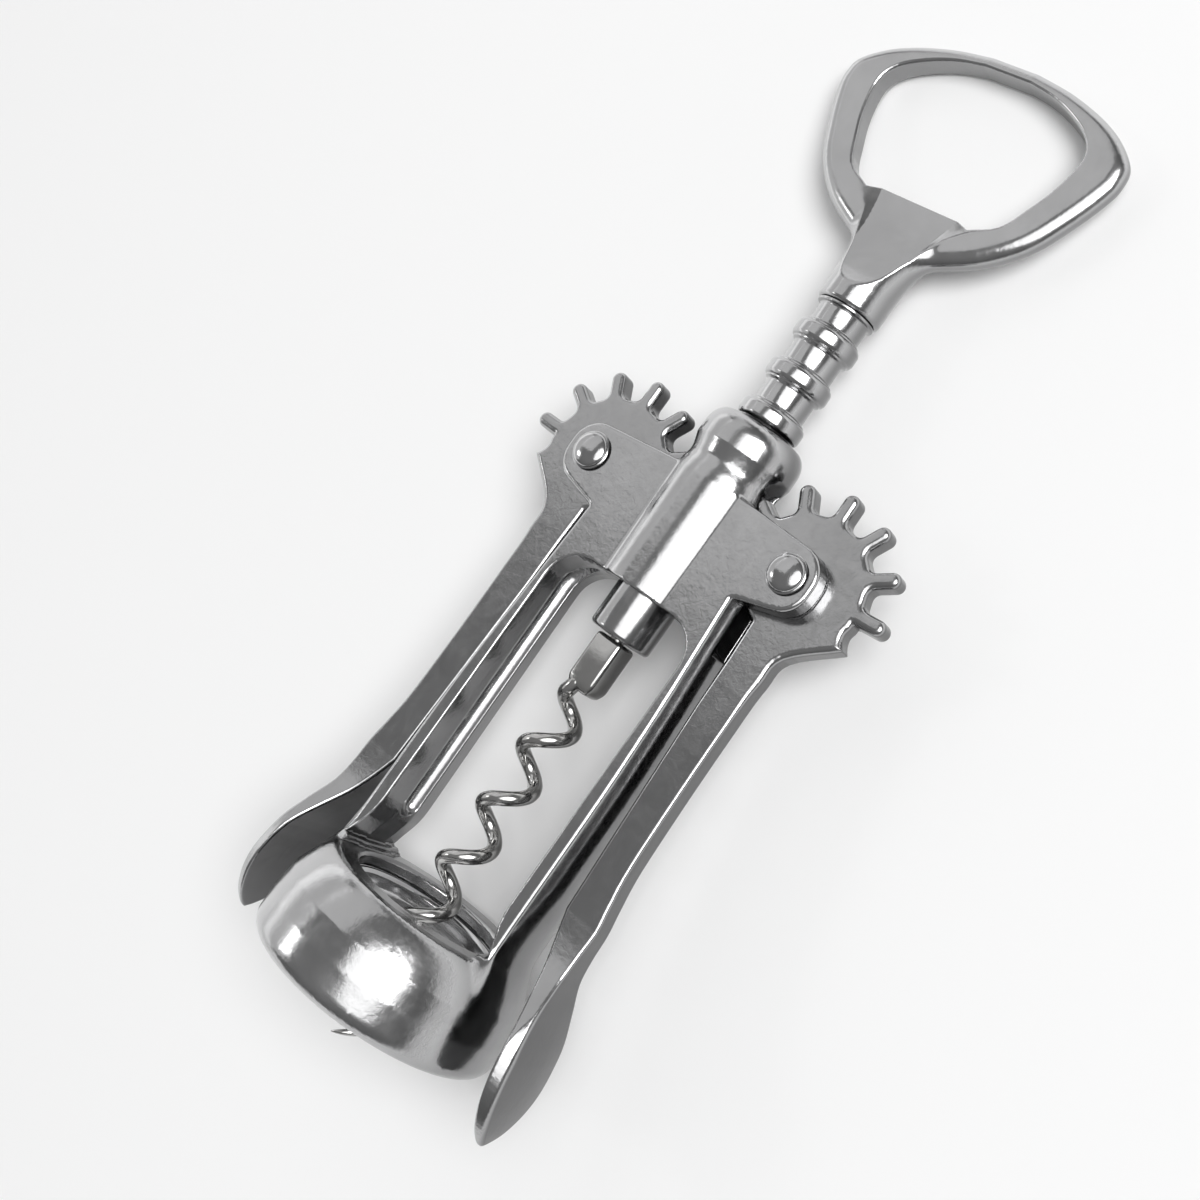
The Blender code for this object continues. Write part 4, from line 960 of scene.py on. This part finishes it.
class CORKSCREW_OT_stage(bpy.types.Operator):
    """Make the table, the lamps, the sky and the camera"""
    bl_idname = "corkscrew.stage"
    bl_label = "Stage"

    def execute(self, context):
        scene = context.scene
        table = bpy.data.meshes.new("table")
        edit = bmesh.new()
        bmesh.ops.create_circle(edit, cap_ends=True, radius=TABLE_RADIUS, segments=96)
        edit.to_mesh(table)
        edit.free()
        floor = bpy.data.objects.new("table", table)
        scene.collection.objects.link(floor)
        paint = bpy.data.materials.new("table_white")
        paint.use_nodes = True
        shader = paint.node_tree.nodes["Principled BSDF"]
        shader.inputs["Base Color"].default_value = (*finishes().table_colour, 1.0)
        shader.inputs["Roughness"].default_value = 0.85
        shader.inputs["Specular IOR Level"].default_value = 0.1
        table.materials.append(paint)

        world = bpy.data.worlds.new("studio")
        scene.world = world
        world.use_nodes = True
        nodes, links = world.node_tree.nodes, world.node_tree.links
        way = nodes.new("ShaderNodeTexCoord")
        parts = nodes.new("ShaderNodeSeparateXYZ")
        links.new(way.outputs["Generated"], parts.inputs["Vector"])
        ramp = nodes.new("ShaderNodeValToRGB")
        stops = ramp.color_ramp.elements
        # A pale backdrop all round near the horizon, and a darker sky above it.
        stops[0].position, stops[0].color = 0.0, (0.9, 0.9, 0.9, 1.0)
        stops[1].position, stops[1].color = 0.9, (0.21, 0.21, 0.21, 1.0)
        for place, shade in ((0.14, 0.82), (0.3, 0.12)):
            stop = stops.new(place)
            stop.color = (shade, shade, shade, 1.0)
        links.new(parts.outputs["Z"], ramp.inputs["Fac"])
        links.new(ramp.outputs["Color"], nodes["Background"].inputs["Color"])

        turned = LYING.to_3x3()
        target = LYING @ (Vector(LIT_PLACE) * MM)
        for name, shape, lean, slide, width, depth, brightness in LAMPS:
            lamp = bpy.data.lights.new(name, "AREA")
            lamp.shape = shape
            lamp.size, lamp.size_y = width * LAMP_DISTANCE, depth * LAMP_DISTANCE
            area = lamp.size * lamp.size_y * (1.0 if shape == "RECTANGLE" else math.pi / 4)
            lamp.energy = brightness * math.pi * area
            holder = bpy.data.objects.new(name, lamp)
            scene.collection.objects.link(holder)
            angle = math.radians(lean)
            away = turned @ Vector((slide, -math.sin(angle), math.cos(angle))).normalized()
            along = (SPINDLE_WAY - away * SPINDLE_WAY.dot(away)).normalized()
            holder.matrix_world = placed(
                along, away.cross(along), away, target + away * LAMP_DISTANCE)

        look = Vector(CAMERA_LOOK).normalized()
        right = Vector(CAMERA_RIGHT)
        right = (right - look * right.dot(look)).normalized()
        lens = bpy.data.cameras.new("photo_camera")
        lens.sensor_width = SENSOR_WIDTH
        lens.lens = CAMERA_LENS
        lens.clip_start = 0.01
        camera = bpy.data.objects.new("photo_camera", lens)
        scene.collection.objects.link(camera)
        camera.matrix_world = LYING @ placed(
            right, right.cross(look), -look, Vector(CAMERA_PLACE) * MM)
        scene.camera = camera
        scene.view_settings.view_transform = "Standard"
        return {"FINISHED"}


OPERATORS = (
    CORKSCREW_OT_casting, CORKSCREW_OT_throat_ring, CORKSCREW_OT_rivets, CORKSCREW_OT_rack,
    CORKSCREW_OT_worm, CORKSCREW_OT_levers, CORKSCREW_OT_handle, CORKSCREW_OT_stage,
)


class CORKSCREW_PT_panel(bpy.types.Panel):
    """Buttons and sizes of the corkscrew"""
    bl_idname = "CORKSCREW_PT_panel"
    bl_label = "Wing corkscrew"
    bl_space_type = "VIEW_3D"
    bl_region_type = "UI"
    bl_category = "Corkscrew"

    def draw(self, context):
        column = self.layout.column()
        for operator in OPERATORS:
            column.operator(operator.bl_idname)
        for group in (context.scene.corkscrew_sizes, context.scene.corkscrew_finish):
            box = self.layout.box()
            for name in group.__annotations__:
                box.prop(group, name)


CLASSES = (CorkscrewSizes, CorkscrewFinish, *OPERATORS, CORKSCREW_PT_panel)


def register():
    """Add the classes and the scene's settings."""
    for kind in CLASSES:
        bpy.utils.register_class(kind)
    bpy.types.Scene.corkscrew_sizes = bpy.props.PointerProperty(type=CorkscrewSizes)
    bpy.types.Scene.corkscrew_finish = bpy.props.PointerProperty(type=CorkscrewFinish)


def unregister():
    """Take the settings and the classes away again."""
    del bpy.types.Scene.corkscrew_finish
    del bpy.types.Scene.corkscrew_sizes
    for kind in reversed(CLASSES):
        bpy.utils.unregister_class(kind)


def main():
    """Make every piece and the stage."""
    register()
    for operator in OPERATORS:
        group, name = operator.bl_idname.split(".")
        getattr(getattr(bpy.ops, group), name)()


if __name__ == "__main__":
    main()
